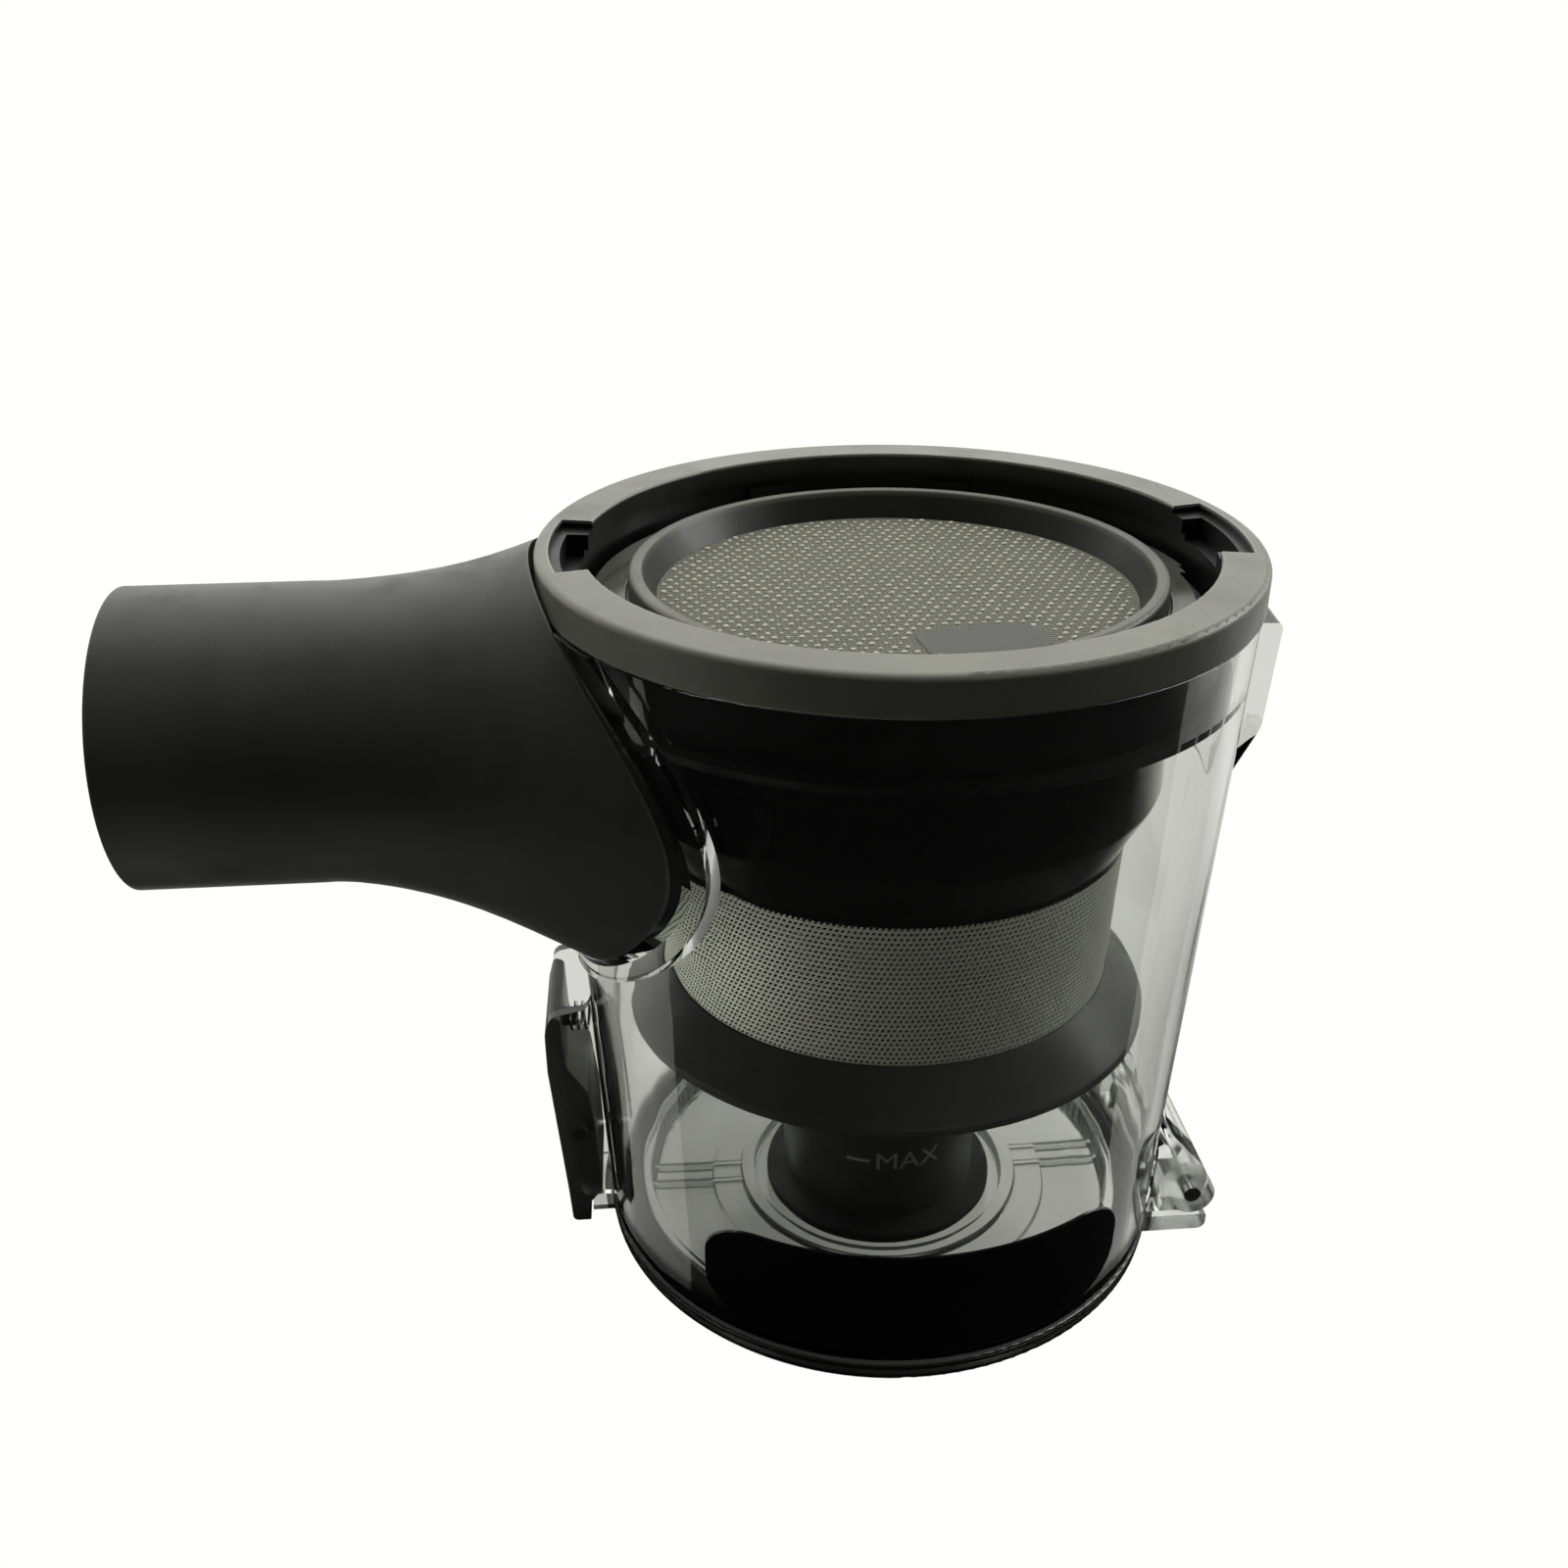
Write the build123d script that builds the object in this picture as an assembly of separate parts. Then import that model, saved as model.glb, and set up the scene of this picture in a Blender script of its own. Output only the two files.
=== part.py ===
import math
import os

from build123d import *

# Cyclone dust bin. Millimetres, +Z up, origin at the middle of the lid's underside.

# bin wall, a straight taper
WALL_H = 112.0
WALL_FOOT_R = 48.0
WALL_SLOPE = 0.0503
WALL_T = 2.0

# lid
LID_FLOOR_T = 2.6
LID_RIM_T = 3.6
LID_GAP = 0.4
LID_LIP = 0.4
LID_PLUG_H = 3.4
LID_PLUG_T = 1.8
LID_SEAL_ROOM = 3.4
LID_SEAL_H = 2.8
LID_SEAL_GAP = 0.4
LID_GROOVE_W = 2.8
LID_GROOVE_DEEP = 2.4
LID_WELL_ROOM = 2.0
LID_WELL_DEEP = 0.4
LID_RING_T = 2.6
LID_RING_H = 2.2
LID_STEP_W = 5.4
LID_STEP_H = 0.9
LID_RIB_T = 1.0
LID_RIB_H = 1.4
LID_RIB_PITCH = 4.4

# hinge on +X
HINGE_OUT = 4.2
HINGE_RISE = 4.0
HINGE_W = 37.0
KNUCKLE_R = 3.9
KNUCKLE_W = 23.2
KNUCKLE_GAP = 0.4
TONGUE_GAP = 0.5
TONGUE_BACK = 0.9
PIN_R = 1.5
EAR_H = 22.5
EAR_ROOT = 2.6
EAR_NOSE = 0.7
EAR_CHIN = 1.4
EAR_BROW_X = 1.2
EAR_BROW_Z = 6.2
GUSSET_RISE = 9.0
GUSSET_BACK = 2.5
GUSSET_NOSE = 1.5

# latch on -X
LATCH_OUT = 4.2
LATCH_RISE = 18.4
LATCH_PIN_R = 1.25
LEVER_W = 17.2
LEVER_TOP_H = 23.2
LEVER_FRONT = 4.8
LEVER_BACK = 3.1
LEVER_CHIN = 7.6
LEVER_WAIST = 4.0
LEVER_TIP_X = 1.1
LEVER_TIP_Z = 0.8
LEVER_ROOT = 1.4
TONGUE_T = 2.8
HOOK_DROP = 2.2
HOOK_GAP = 0.4
CATCH_W = 15.0
CATCH_T = 1.0
CATCH_OUT = 3.0
CHEEK_T = 1.8
CHEEK_GAP = 0.4
CHEEK_TOP_H = 30.0
CHEEK_FOOT = 5.3
CHEEK_WAIST = 1.6
CHEEK_BROW = 0.8
SPRING_RISE = 17.0
SPRING_R = 2.1
SPRING_WIRE_R = 0.26
SPRING_PITCH = 1.2
STUD_R = 1.4
RUN = 0.05

# top collar, with a tube that reaches down inside the wall
COLLAR_H = 6.0
COLLAR_OVERHANG = 0.37
COLLAR_TUBE_H = 12.0
COLLAR_TUBE_T = 1.6
COLLAR_TUBE_GAP = 2.43
COLLAR_SEAL_H = 1.2
LIP_H = 3.6
LIP_STEP = 0.7
SEAT_DROP = 11.2
SEAT_W = 2.4
SEAT_T = 1.8
NOTCH_STEP_W = 4.8
NOTCH_STEP_DEEP = 1.2
NOTCH_STEP_ANGLE = 28.0
NOTCH_SLOT_W = 3.2
NOTCH_SLOT_DEEP = 4.6
NOTCH_SLOT_ANGLE = 20.0
NOTCH_PLACES = (0, 180)
LUG_W = 1.4
LUG_H = 2.4
LUG_ANGLE = 9.0
LUG_ROOT = 0.5
LUG_PLACES = (70, 110, 250, 290)

# inlet duct, along -X
DUCT_DROP = 22.7
DUCT_REACH = 63.0
DUCT_R = 23.0
DUCT_T = 2.4
FLARE_LEN = 19.7
FLARE_BLEND = 16.0
FLARE_DROP = 3.4
FLARE_PAST = 10.3
FLARE_RINGS = 8
SADDLE_ANGLE = 49.5
SADDLE_RIM_W = 3.4
SADDLE_RIM_H = 1.1
SADDLE_FIT = 0.15
WINDOW_STEP = 0.4
WINDOW_BELOW = 5.0
GASKET_T = 0.8

# shroud stack
LEDGE_DROP = 7.6
LEDGE_T = 2.0
LEDGE_GAP = 0.6
LEDGE_W = 4.1
HEAD_T = 1.8
HEAD_H = 37.0
HEAD_CONE_H = 9.6
HEAD_STEP = 4.5
KEY_ANGLE = 16.0
KEY_STEP_ANGLE = 24.0
KEY_PLACES = (-6, 196)
MESH_H = 24.6
MESH_TAPER = 1.2
MESH_T = 0.5
CAGE_T = 4.3
CAGE_RIBS = 8
CAGE_RIB_ANGLE = 8.0
CAGE_BAND_H = 3.0
SKIRT_H = 8.0
SKIRT_FLARE = 7.15
SKIRT_T = 2.0
SKIRT_EDGE_T = 1.6
SKIRT_EDGE_H = 1.4
POST_R = 16.9
POST_T = 1.8
BOOT_GAP = 1.0
BOOT_T = 2.8
BOOT_FLARE = 3.2
BOOT_LIP_T = 1.7
BOOT_SLEEVE_H = 6.0
BOOT_SLEEVE_T = 1.2
CONE_STEP = 4.0
CONE_T = 1.6
CONE_TAIL = 14.8
CONE_SLOTS = 6
CONE_SLOT_H = 6.5
CONE_SLOT_W = 5.5
CONE_SLOT_IN = 2.8
VORTEX_R = 9.0
VORTEX_T = 1.4
VORTEX_H = 17.6

# filter
FILTER_GAP = 1.9
FILTER_RIM_W = 4.1
FILTER_BELOW = 4.0
FILTER_CUP_T = 2.2
FILTER_RIM_R = 0.9
FILTER_MOUTH_FLARE = 2.1
FABRIC_SINK = 4.4
FABRIC_T = 0.8
PLEAT_PITCH = 5.0
PLEAT_H = 14.0
PLEAT_SINK = 3.0
PLEAT_T = 0.9
SPOKE_W = 2.4
SPOKE_T = 1.6
SPOKE_PLACES = (0, 60, 120)

# bare panel on the front
PANEL_W = 65.4
PANEL_H = 19.6
PANEL_T = 0.4
PANEL_CORNER = 8.0
PANEL_RISE = 12.8

# locating rib beside the hinge
RIB_W = 11.0
RIB_H = 25.6
RIB_OUT = 4.2
RIB_BELOW = 5.4
RIB_RAMP_H = 8.5
RIB_TURN = -6.0

# rounded edges, and how far a cutting shape runs past what it cuts
FINE = 0.3
EDGE = 0.5
SOFT = 1.0
FULL = 2.0
WIDE = 3.0
BROAD = 6.0
PAST = 20.0
CORNER_SHARE = 0.48

# heights and radii that follow from the sizes above
wall_foot_z = LID_RIM_T + LID_GAP
wall_top_z = wall_foot_z + WALL_H


def wall_r(z):
    """Outside radius of the bin at a height."""
    return WALL_FOOT_R + WALL_SLOPE * (z - wall_foot_z)


lid_r = WALL_FOOT_R + LID_LIP
foot_bore_r = WALL_FOOT_R - WALL_T
plug_r = foot_bore_r - LID_SEAL_ROOM
plug_inner_r = plug_r - LID_PLUG_T
plug_top_z = LID_RIM_T + LID_PLUG_H
groove_r = plug_r + LID_GROOVE_W
groove_z = LID_RIM_T - LID_GROOVE_DEEP

hinge_x = lid_r + HINGE_OUT
hinge_z = LID_RIM_T + HINGE_RISE
hinge_half = HINGE_W / 2
knuckle_half = KNUCKLE_W / 2
ear_y = knuckle_half + KNUCKLE_GAP

latch_x = -lid_r - LATCH_OUT
latch_z = LID_RIM_T + LATCH_RISE
lever_half = LEVER_W / 2
cheek_y = lever_half + CHEEK_GAP
cheek_out_y = cheek_y + CHEEK_T
catch_x = -lid_r - CATCH_OUT
spring_z = latch_z + SPRING_RISE

collar_r = wall_r(wall_top_z) + COLLAR_OVERHANG
collar_top_z = wall_top_z + COLLAR_H
tube_foot_z = wall_top_z - COLLAR_TUBE_H
tube_r = wall_r(tube_foot_z) - WALL_T - COLLAR_TUBE_GAP
lip_r = tube_r - COLLAR_TUBE_T
lip_foot_z = collar_top_z - LIP_H
socket_r = lip_r + LIP_STEP
seat_z = collar_top_z - SEAT_DROP
seat_r = lip_r - SEAT_W

ledge_z = collar_top_z - LEDGE_DROP
ledge_foot_z = ledge_z - LEDGE_T
ledge_r = lip_r - LEDGE_GAP
head_r = ledge_r - LEDGE_W
head_inner_r = head_r - HEAD_T
mesh_top_z = ledge_z - HEAD_H
cone_top_z = mesh_top_z + HEAD_CONE_H
mesh_top_r = head_r - HEAD_STEP
mesh_foot_r = mesh_top_r - MESH_TAPER
mesh_foot_z = mesh_top_z - MESH_H
cage_top_r = mesh_top_r - MESH_T
cage_foot_r = mesh_foot_r - MESH_T
cage_inner_r = cage_top_r - CAGE_T
skirt_r = mesh_foot_r + SKIRT_FLARE
skirt_foot_z = mesh_foot_z - SKIRT_H
post_bore_r = POST_R - POST_T
post_top_z = mesh_foot_z - SKIRT_T / 2
well_z = LID_FLOOR_T - LID_WELL_DEEP
boot_r = POST_R + BOOT_FLARE
boot_foot_z = well_z + BOOT_GAP
post_foot_z = boot_foot_z + BOOT_T
sleeve_r = post_bore_r - BOOT_SLEEVE_T
sleeve_top_z = post_foot_z + BOOT_SLEEVE_H

filter_r = head_r - FILTER_GAP
mouth_r = filter_r - FILTER_RIM_W
cup_r = mouth_r + FILTER_CUP_T
filter_top_z = collar_top_z - FILTER_BELOW
filter_seat_z = ledge_z - GASKET_T / 2
gasket_foot_z = filter_seat_z - GASKET_T
fabric_z = filter_top_z - FABRIC_SINK
pleat_top_z = fabric_z - PLEAT_SINK
pleat_foot_z = pleat_top_z - PLEAT_H
cup_floor_z = pleat_foot_z - PLEAT_T - EDGE

duct_z = wall_top_z - DUCT_DROP
duct_wall_r = wall_r(duct_z)
duct_mouth_x = -duct_wall_r - DUCT_REACH
knee_x = -duct_wall_r - FLARE_LEN
flare_from_x = knee_x - FLARE_BLEND
saddle_x = -duct_wall_r * math.cos(math.radians(SADDLE_ANGLE))
saddle_y = duct_wall_r * math.sin(math.radians(SADDLE_ANGLE))
flare_to_x = saddle_x + FLARE_PAST
flare_slope = (saddle_y - DUCT_R) / (saddle_x - knee_x)

parts = {}


def outline(points):
    """Closed face in XZ from (x, z) or (x, z, corner radius) points."""
    count = len(points)
    starts = []
    ends = []
    mids = []
    for i in range(count):
        here = points[i]
        radius = here[2] if len(here) > 2 else 0.0
        p = Vector(here[0], 0, here[1])
        if radius <= 0:
            starts.append(p)
            ends.append(p)
            mids.append(None)
            continue
        before = points[i - 1]
        after = points[(i + 1) % count]
        to_before = Vector(before[0], 0, before[1]) - p
        to_after = Vector(after[0], 0, after[1]) - p
        a = to_before.normalized()
        b = to_after.normalized()
        half = math.radians(a.get_angle(b)) / 2
        room = CORNER_SHARE * min(to_before.length, to_after.length)
        reach = min(radius / math.tan(half), room)
        radius = reach * math.tan(half)
        bisector = (a + b).normalized()
        centre = p + bisector * (radius / math.sin(half))
        starts.append(p + a * reach)
        ends.append(p + b * reach)
        mids.append(centre - bisector * radius)
    edges = []
    for i in range(count):
        if mids[i] is not None:
            edges.append(ThreePointArc(starts[i], mids[i], ends[i]))
        following = starts[(i + 1) % count]
        if (following - ends[i]).length > 1e-6:
            edges.append(Line(ends[i], following))
    return make_face(edges)


def lathe(points):
    return revolve(outline(points), Axis.Z)


def prism(points, y_from, y_to):
    face = outline(points)
    solid = extrude(face, amount=y_to - y_from, dir=(0, 1, 0))
    return Pos(0, y_from, 0) * solid


def block(x0, x1, y0, y1, z0, z1):
    centre = Pos((x0 + x1) / 2, (y0 + y1) / 2, (z0 + z1) / 2)
    return centre * Box(x1 - x0, y1 - y0, z1 - z0)


def bar_y(x, z, radius, half):
    """Round bar along Y, half its length to each side."""
    return Pos(x, 0, z) * Rot(90, 0, 0) * Cylinder(radius, 2 * half)


def tube(outer, inner, z0, z1):
    return lathe([(inner, z0), (outer, z0), (outer, z1), (inner, z1)])


def wall_core(offset, z0=-PAST, z1=collar_top_z + PAST):
    """Solid cone parallel to the bin's outside."""
    return lathe([(0, z0), (wall_r(z0) + offset, z0), (wall_r(z1) + offset, z1), (0, z1)])


def sector(inner, outer, z0, z1, middle, span):
    """Part of a ring, span degrees wide, round the middle angle."""
    face = outline([(inner, z0), (outer, z0), (outer, z1), (inner, z1)])
    turned = revolve(face, Axis.Z, revolution_arc=span)
    return Rot(0, 0, middle - span / 2) * turned


def flare_r(x):
    """Outside radius of the duct at a place along it: straight, then a soft knee, then a straight flare."""
    bent = min(max(x - flare_from_x, 0), 2 * FLARE_BLEND)
    grown = bent ** 2 / (4 * FLARE_BLEND) + max(x - knee_x - FLARE_BLEND, 0)
    return DUCT_R + flare_slope * grown


def flare_z(x):
    """Height of the duct's middle, which sinks a little as the duct widens."""
    share = min(max((x - flare_from_x) / (3 * FLARE_BLEND), 0), 1)
    return duct_z - FLARE_DROP * share ** 2 * (3 - 2 * share)


def duct_core(grow):
    """Trumpet of the duct, grown by a number of millimetres."""
    rings = []
    for k in range(FLARE_RINGS):
        x = flare_from_x + (flare_to_x - flare_from_x) * k / (FLARE_RINGS - 1)
        plane = Plane(origin=(x, 0, flare_z(x)), x_dir=(0, 1, 0), z_dir=(1, 0, 0))
        rings.append(plane * Circle(flare_r(x) + grow))
    return loft(rings)


def duct_straight(radius, x0):
    middle = Pos((x0 + flare_from_x) / 2, 0, duct_z)
    return middle * Rot(0, 90, 0) * Cylinder(radius, flare_from_x - x0)


# clear bin: the tapered wall
shell = lathe([
    (foot_bore_r, wall_foot_z, EDGE),
    (WALL_FOOT_R, wall_foot_z, EDGE),
    (wall_r(wall_top_z), wall_top_z, FINE),
    (wall_r(wall_top_z) - WALL_T, wall_top_z, FINE),
])

# raised rim round the inlet, an oval pad on the wall that the duct's saddle drops into
rim_plane = Plane(
    origin=(duct_mouth_x, 0, flare_z(-duct_wall_r)), x_dir=(0, 1, 0), z_dir=(1, 0, 0)
)
rim_oval = rim_plane * Ellipse(saddle_y + SADDLE_RIM_W, flare_r(-duct_wall_r) + SADDLE_RIM_W)
rim_pad = extrude(rim_oval, amount=flare_to_x - duct_mouth_x)
rim_pad = rim_pad & (wall_core(SADDLE_RIM_H, z1=wall_top_z) - wall_core(-WALL_T / 2))
saddle_cut = duct_core(SADDLE_FIT) - wall_core(0)
window_roof = block(duct_mouth_x, 0, -collar_r, collar_r, wall_top_z - WINDOW_BELOW, collar_top_z + PAST)
window = duct_core(-DUCT_T - WINDOW_STEP) - window_roof

# latch cheeks
cheek_root_x = -foot_bore_r + FULL
cheek_line = [
    (cheek_root_x, LID_RIM_T + CHEEK_FOOT, SOFT),
    (latch_x - LATCH_PIN_R + EDGE, LID_RIM_T + CHEEK_FOOT, FULL),
    (latch_x - LEVER_FRONT + CHEEK_WAIST, latch_z + LEVER_TOP_H / 2, BROAD),
    (latch_x - LEVER_FRONT + CHEEK_BROW, latch_z + LEVER_TOP_H + CHEEK_BROW, FULL),
    (-wall_r(latch_z + LEVER_TOP_H), latch_z + LEVER_TOP_H + FULL, FULL),
    (-wall_r(latch_z + CHEEK_TOP_H) + WALL_T, latch_z + CHEEK_TOP_H),
    (cheek_root_x, latch_z + CHEEK_TOP_H),
]
cheeks = prism(cheek_line, -cheek_out_y, -cheek_y) + prism(cheek_line, cheek_y, cheek_out_y)

# hinge ears and the gusset between them
ear_top_z = wall_foot_z + EAR_H
ear_root_x = foot_bore_r - BROAD
blend_z = ear_top_z - BROAD + SOFT
wall_blend = [
    (wall_r(blend_z) - WALL_T + FINE, blend_z, BROAD),
    (wall_r(ear_top_z) - 2 * WALL_T + EDGE, ear_top_z),
    (ear_root_x, ear_top_z),
]
ear_line = [
    (ear_root_x, wall_foot_z + LID_GAP),
    (hinge_x - EAR_ROOT, wall_foot_z + LID_GAP, SOFT),
    (hinge_x, hinge_z - KNUCKLE_R + FINE, EDGE),
    (hinge_x + KNUCKLE_R - EAR_NOSE, hinge_z - FULL, SOFT),
    (hinge_x + KNUCKLE_R - FINE, hinge_z + EAR_CHIN, SOFT),
    (hinge_x + EAR_BROW_X, hinge_z + EAR_BROW_Z, WIDE),
] + wall_blend
knuckle = bar_y(hinge_x, hinge_z, KNUCKLE_R, hinge_half) - bar_y(hinge_x, hinge_z, KNUCKLE_R + SOFT, ear_y)
ears = prism(ear_line, -hinge_half, -ear_y) + prism(ear_line, ear_y, hinge_half) + knuckle
gusset_line = [
    (ear_root_x, wall_foot_z + GUSSET_RISE),
    (hinge_x - GUSSET_BACK, wall_foot_z + GUSSET_RISE, SOFT),
    (hinge_x - GUSSET_NOSE, wall_foot_z + GUSSET_RISE + FULL, SOFT),
] + wall_blend
gusset = prism(gusset_line, -ear_y, ear_y)

# locating rib
rib_top_z = wall_top_z - RIB_BELOW
rib_foot_z = rib_top_z - RIB_H
rib_line = [
    (wall_r(rib_foot_z) - BROAD, rib_foot_z),
    (wall_r(rib_foot_z) + FINE, rib_foot_z, FULL),
    (wall_r(rib_foot_z + RIB_RAMP_H) + RIB_OUT - FINE, rib_foot_z + RIB_RAMP_H, BROAD),
    (wall_r(rib_top_z) + RIB_OUT, rib_top_z, SOFT),
    (wall_r(rib_foot_z) - BROAD, rib_top_z),
]
rib = Rot(0, 0, RIB_TURN) * prism(rib_line, -RIB_W / 2, RIB_W / 2)

outside = (cheeks + ears + gusset + rib) - wall_core(-WALL_T / 2)
shell = shell + rim_pad - saddle_cut - window + outside
shell = shell - bar_y(hinge_x, hinge_z, PIN_R, hinge_half + PAST)
shell = shell - bar_y(latch_x, latch_z, LATCH_PIN_R, cheek_out_y + PAST)
parts["bin_shell"] = shell

# inlet duct with its saddle trimmed to the wall
duct_outer = duct_core(0) + duct_straight(DUCT_R, duct_mouth_x)
duct_inner = duct_core(-DUCT_T) + duct_straight(DUCT_R - DUCT_T, duct_mouth_x - PAST)
duct = duct_outer - duct_inner - wall_core(GASKET_T)
collar_room = Pos(0, 0, wall_top_z + PAST - EDGE) * Cylinder(collar_r + EDGE, 2 * PAST)
parts["inlet_duct"] = duct - collar_room

gasket = duct_core(-FINE) - duct_core(-DUCT_T)
gasket = gasket & (wall_core(GASKET_T, z1=wall_top_z - SOFT) - wall_core(0))
parts["inlet_gasket"] = gasket

# top collar
collar = lathe([
    (lip_r, lip_foot_z),
    (lip_r, collar_top_z, FINE),
    (collar_r, collar_top_z, SOFT),
    (collar_r, wall_top_z, EDGE),
    (tube_r, wall_top_z),
    (tube_r, tube_foot_z, FINE),
    (socket_r, tube_foot_z, FINE),
    (socket_r, seat_z - SEAT_T - SEAT_W),
    (seat_r, seat_z - SEAT_T, EDGE),
    (seat_r, seat_z, FINE),
    (socket_r, seat_z),
    (socket_r, lip_foot_z),
])
for angle in NOTCH_PLACES:
    step_z = collar_top_z - NOTCH_STEP_DEEP
    slot_z = collar_top_z - NOTCH_SLOT_DEEP
    step = sector(seat_r, lip_r + NOTCH_STEP_W, step_z, collar_top_z + PAST, angle, NOTCH_STEP_ANGLE)
    slot = sector(seat_r, lip_r + NOTCH_SLOT_W, slot_z, collar_top_z + PAST, angle, NOTCH_SLOT_ANGLE)
    collar = collar - step - slot
lug_z = lip_foot_z - SOFT - LUG_H
for angle in LUG_PLACES:
    lug = sector(socket_r - LUG_W, socket_r + LUG_ROOT, lug_z, lug_z + LUG_H, angle, LUG_ANGLE)
    collar = collar + lug
parts["top_collar"] = collar

seal_z = tube_foot_z + EDGE
seal_top_z = seal_z + COLLAR_SEAL_H
parts["collar_seal"] = lathe([
    (tube_r, seal_z),
    (wall_r(seal_z) - WALL_T, seal_z),
    (wall_r(seal_top_z) - WALL_T, seal_top_z),
    (tube_r, seal_top_z),
])

# shroud head: the ledge that hangs it in the collar, a seat for the filter, a wall and a short cone
head = lathe([
    (cup_r + FINE, gasket_foot_z),
    (filter_r + FINE, gasket_foot_z),
    (filter_r + FINE, ledge_z, FINE),
    (ledge_r, ledge_z, EDGE),
    (ledge_r, ledge_foot_z, EDGE),
    (head_r, ledge_foot_z, EDGE),
    (head_r, cone_top_z, FULL),
    (mesh_top_r + FINE, mesh_top_z + SOFT, SOFT),
    (mesh_top_r + FINE, mesh_top_z),
    (cage_inner_r, mesh_top_z),
    (cage_inner_r, mesh_top_z + FULL),
    (mesh_top_r - SOFT, mesh_top_z + FULL + SOFT, SOFT),
    (head_inner_r, cone_top_z + SOFT, FULL),
    (head_inner_r, gasket_foot_z - HEAD_T - FULL),
    (cup_r + FINE, gasket_foot_z - HEAD_T),
])
for angle in KEY_PLACES:
    head = head - sector(head_r + FULL, collar_r, ledge_foot_z - SOFT, ledge_z + SOFT, angle, KEY_ANGLE)
    head = head - sector(ledge_r - SOFT, collar_r, ledge_foot_z - SOFT, ledge_z + SOFT, angle, KEY_STEP_ANGLE)
parts["shroud_head"] = head

parts["head_gasket"] = tube(ledge_r, head_r + SOFT, seat_z, ledge_foot_z)

# cage with upright ribs, mesh round it, skirt under both
cage = lathe([
    (cage_inner_r, mesh_top_z),
    (cage_top_r, mesh_top_z),
    (cage_foot_r, mesh_foot_z),
    (cage_inner_r, mesh_foot_z),
])
gap_angle = 360 / CAGE_RIBS - CAGE_RIB_ANGLE
gap_foot_z = mesh_foot_z + CAGE_BAND_H
gap_top_z = mesh_top_z - CAGE_BAND_H
for k in range(CAGE_RIBS):
    cage = cage - sector(POST_R, collar_r, gap_foot_z, gap_top_z, k * 360 / CAGE_RIBS, gap_angle)
parts["mesh_cage"] = cage

parts["mesh_screen"] = lathe([
    (cage_top_r, mesh_top_z),
    (mesh_top_r, mesh_top_z),
    (mesh_foot_r, mesh_foot_z),
    (cage_foot_r, mesh_foot_z),
])

parts["skirt"] = lathe([
    (POST_R, mesh_foot_z - SKIRT_T),
    (cage_inner_r, mesh_foot_z - SKIRT_T),
    (cage_inner_r, mesh_foot_z),
    (mesh_foot_r + FINE, mesh_foot_z, EDGE),
    (skirt_r - EDGE, skirt_foot_z + SKIRT_EDGE_H, SOFT),
    (skirt_r, skirt_foot_z, EDGE),
    (skirt_r - SKIRT_EDGE_T, skirt_foot_z, EDGE),
    (cage_inner_r + SKIRT_T, mesh_foot_z - 2 * SKIRT_T, WIDE),
    (POST_R, mesh_foot_z - 2 * SKIRT_T),
])

# post and its soft boot
parts["dust_post"] = tube(POST_R, post_bore_r, post_foot_z, post_top_z)
parts["post_boot"] = lathe([
    (sleeve_r, boot_foot_z, EDGE),
    (boot_r, boot_foot_z, FINE),
    (boot_r, boot_foot_z + BOOT_LIP_T, EDGE),
    (POST_R, post_foot_z),
    (post_bore_r, post_foot_z),
    (post_bore_r, sleeve_top_z, FINE),
    (sleeve_r, sleeve_top_z, FINE),
])

# inner cone with its swirl slots, and the plate that leads clean air up
cone_r = cage_inner_r - CONE_STEP
cone_top = mesh_top_z + SOFT
cone_knee_z = mesh_top_z - SOFT - CONE_SLOT_H - FULL
cone_foot_z = mesh_foot_z - CONE_TAIL
cone = lathe([
    (cone_r - CONE_T, cone_top),
    (cage_inner_r, cone_top),
    (cage_inner_r, mesh_top_z - EDGE),
    (cone_r, mesh_top_z - EDGE, SOFT),
    (cone_r, cone_knee_z, FULL),
    (post_bore_r, mesh_foot_z + FINE, FULL),
    (post_bore_r, cone_foot_z),
    (post_bore_r - CONE_T, cone_foot_z),
    (post_bore_r - CONE_T, mesh_foot_z + 2 * FINE, FULL),
    (cone_r - CONE_T, cone_knee_z + EDGE, FULL),
])
slot_foot_z = cone_knee_z + SOFT + FINE
slot_out_y = cone_r - CONE_SLOT_IN
for k in range(CONE_SLOTS):
    slot = block(0, cage_inner_r, slot_out_y - CONE_SLOT_W, slot_out_y, slot_foot_z, slot_foot_z + CONE_SLOT_H)
    cone = cone - Rot(0, 0, k * 360 / CONE_SLOTS) * slot
parts["cyclone_cone"] = cone

plate_top_z = cone_top + CONE_T
parts["vortex_plate"] = lathe([
    (VORTEX_R - VORTEX_T, plate_top_z - VORTEX_H),
    (VORTEX_R, plate_top_z - VORTEX_H),
    (VORTEX_R, cone_top, WIDE),
    (cage_inner_r, cone_top),
    (cage_inner_r, plate_top_z),
    (VORTEX_R - VORTEX_T, plate_top_z, SOFT),
])

# filter: rounded rim, cup with spokes, woven disc, pleats, gasket
frame = lathe([
    (mouth_r, cup_floor_z),
    (mouth_r, fabric_z),
    (mouth_r + FILTER_MOUTH_FLARE, filter_top_z, EDGE),
    (filter_r, filter_top_z, FILTER_RIM_R),
    (filter_r, filter_seat_z),
    (cup_r, filter_seat_z),
    (cup_r - EDGE, cup_floor_z - SPOKE_T, SOFT),
    (mouth_r - BROAD, cup_floor_z - SPOKE_T),
    (mouth_r - BROAD, cup_floor_z),
])
spoke_reach = mouth_r - BROAD + SOFT
for angle in SPOKE_PLACES:
    spoke = block(-spoke_reach, spoke_reach, -SPOKE_W / 2, SPOKE_W / 2, cup_floor_z - SPOKE_T, cup_floor_z)
    frame = frame + Rot(0, 0, angle) * spoke
parts["filter_frame"] = frame

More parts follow.
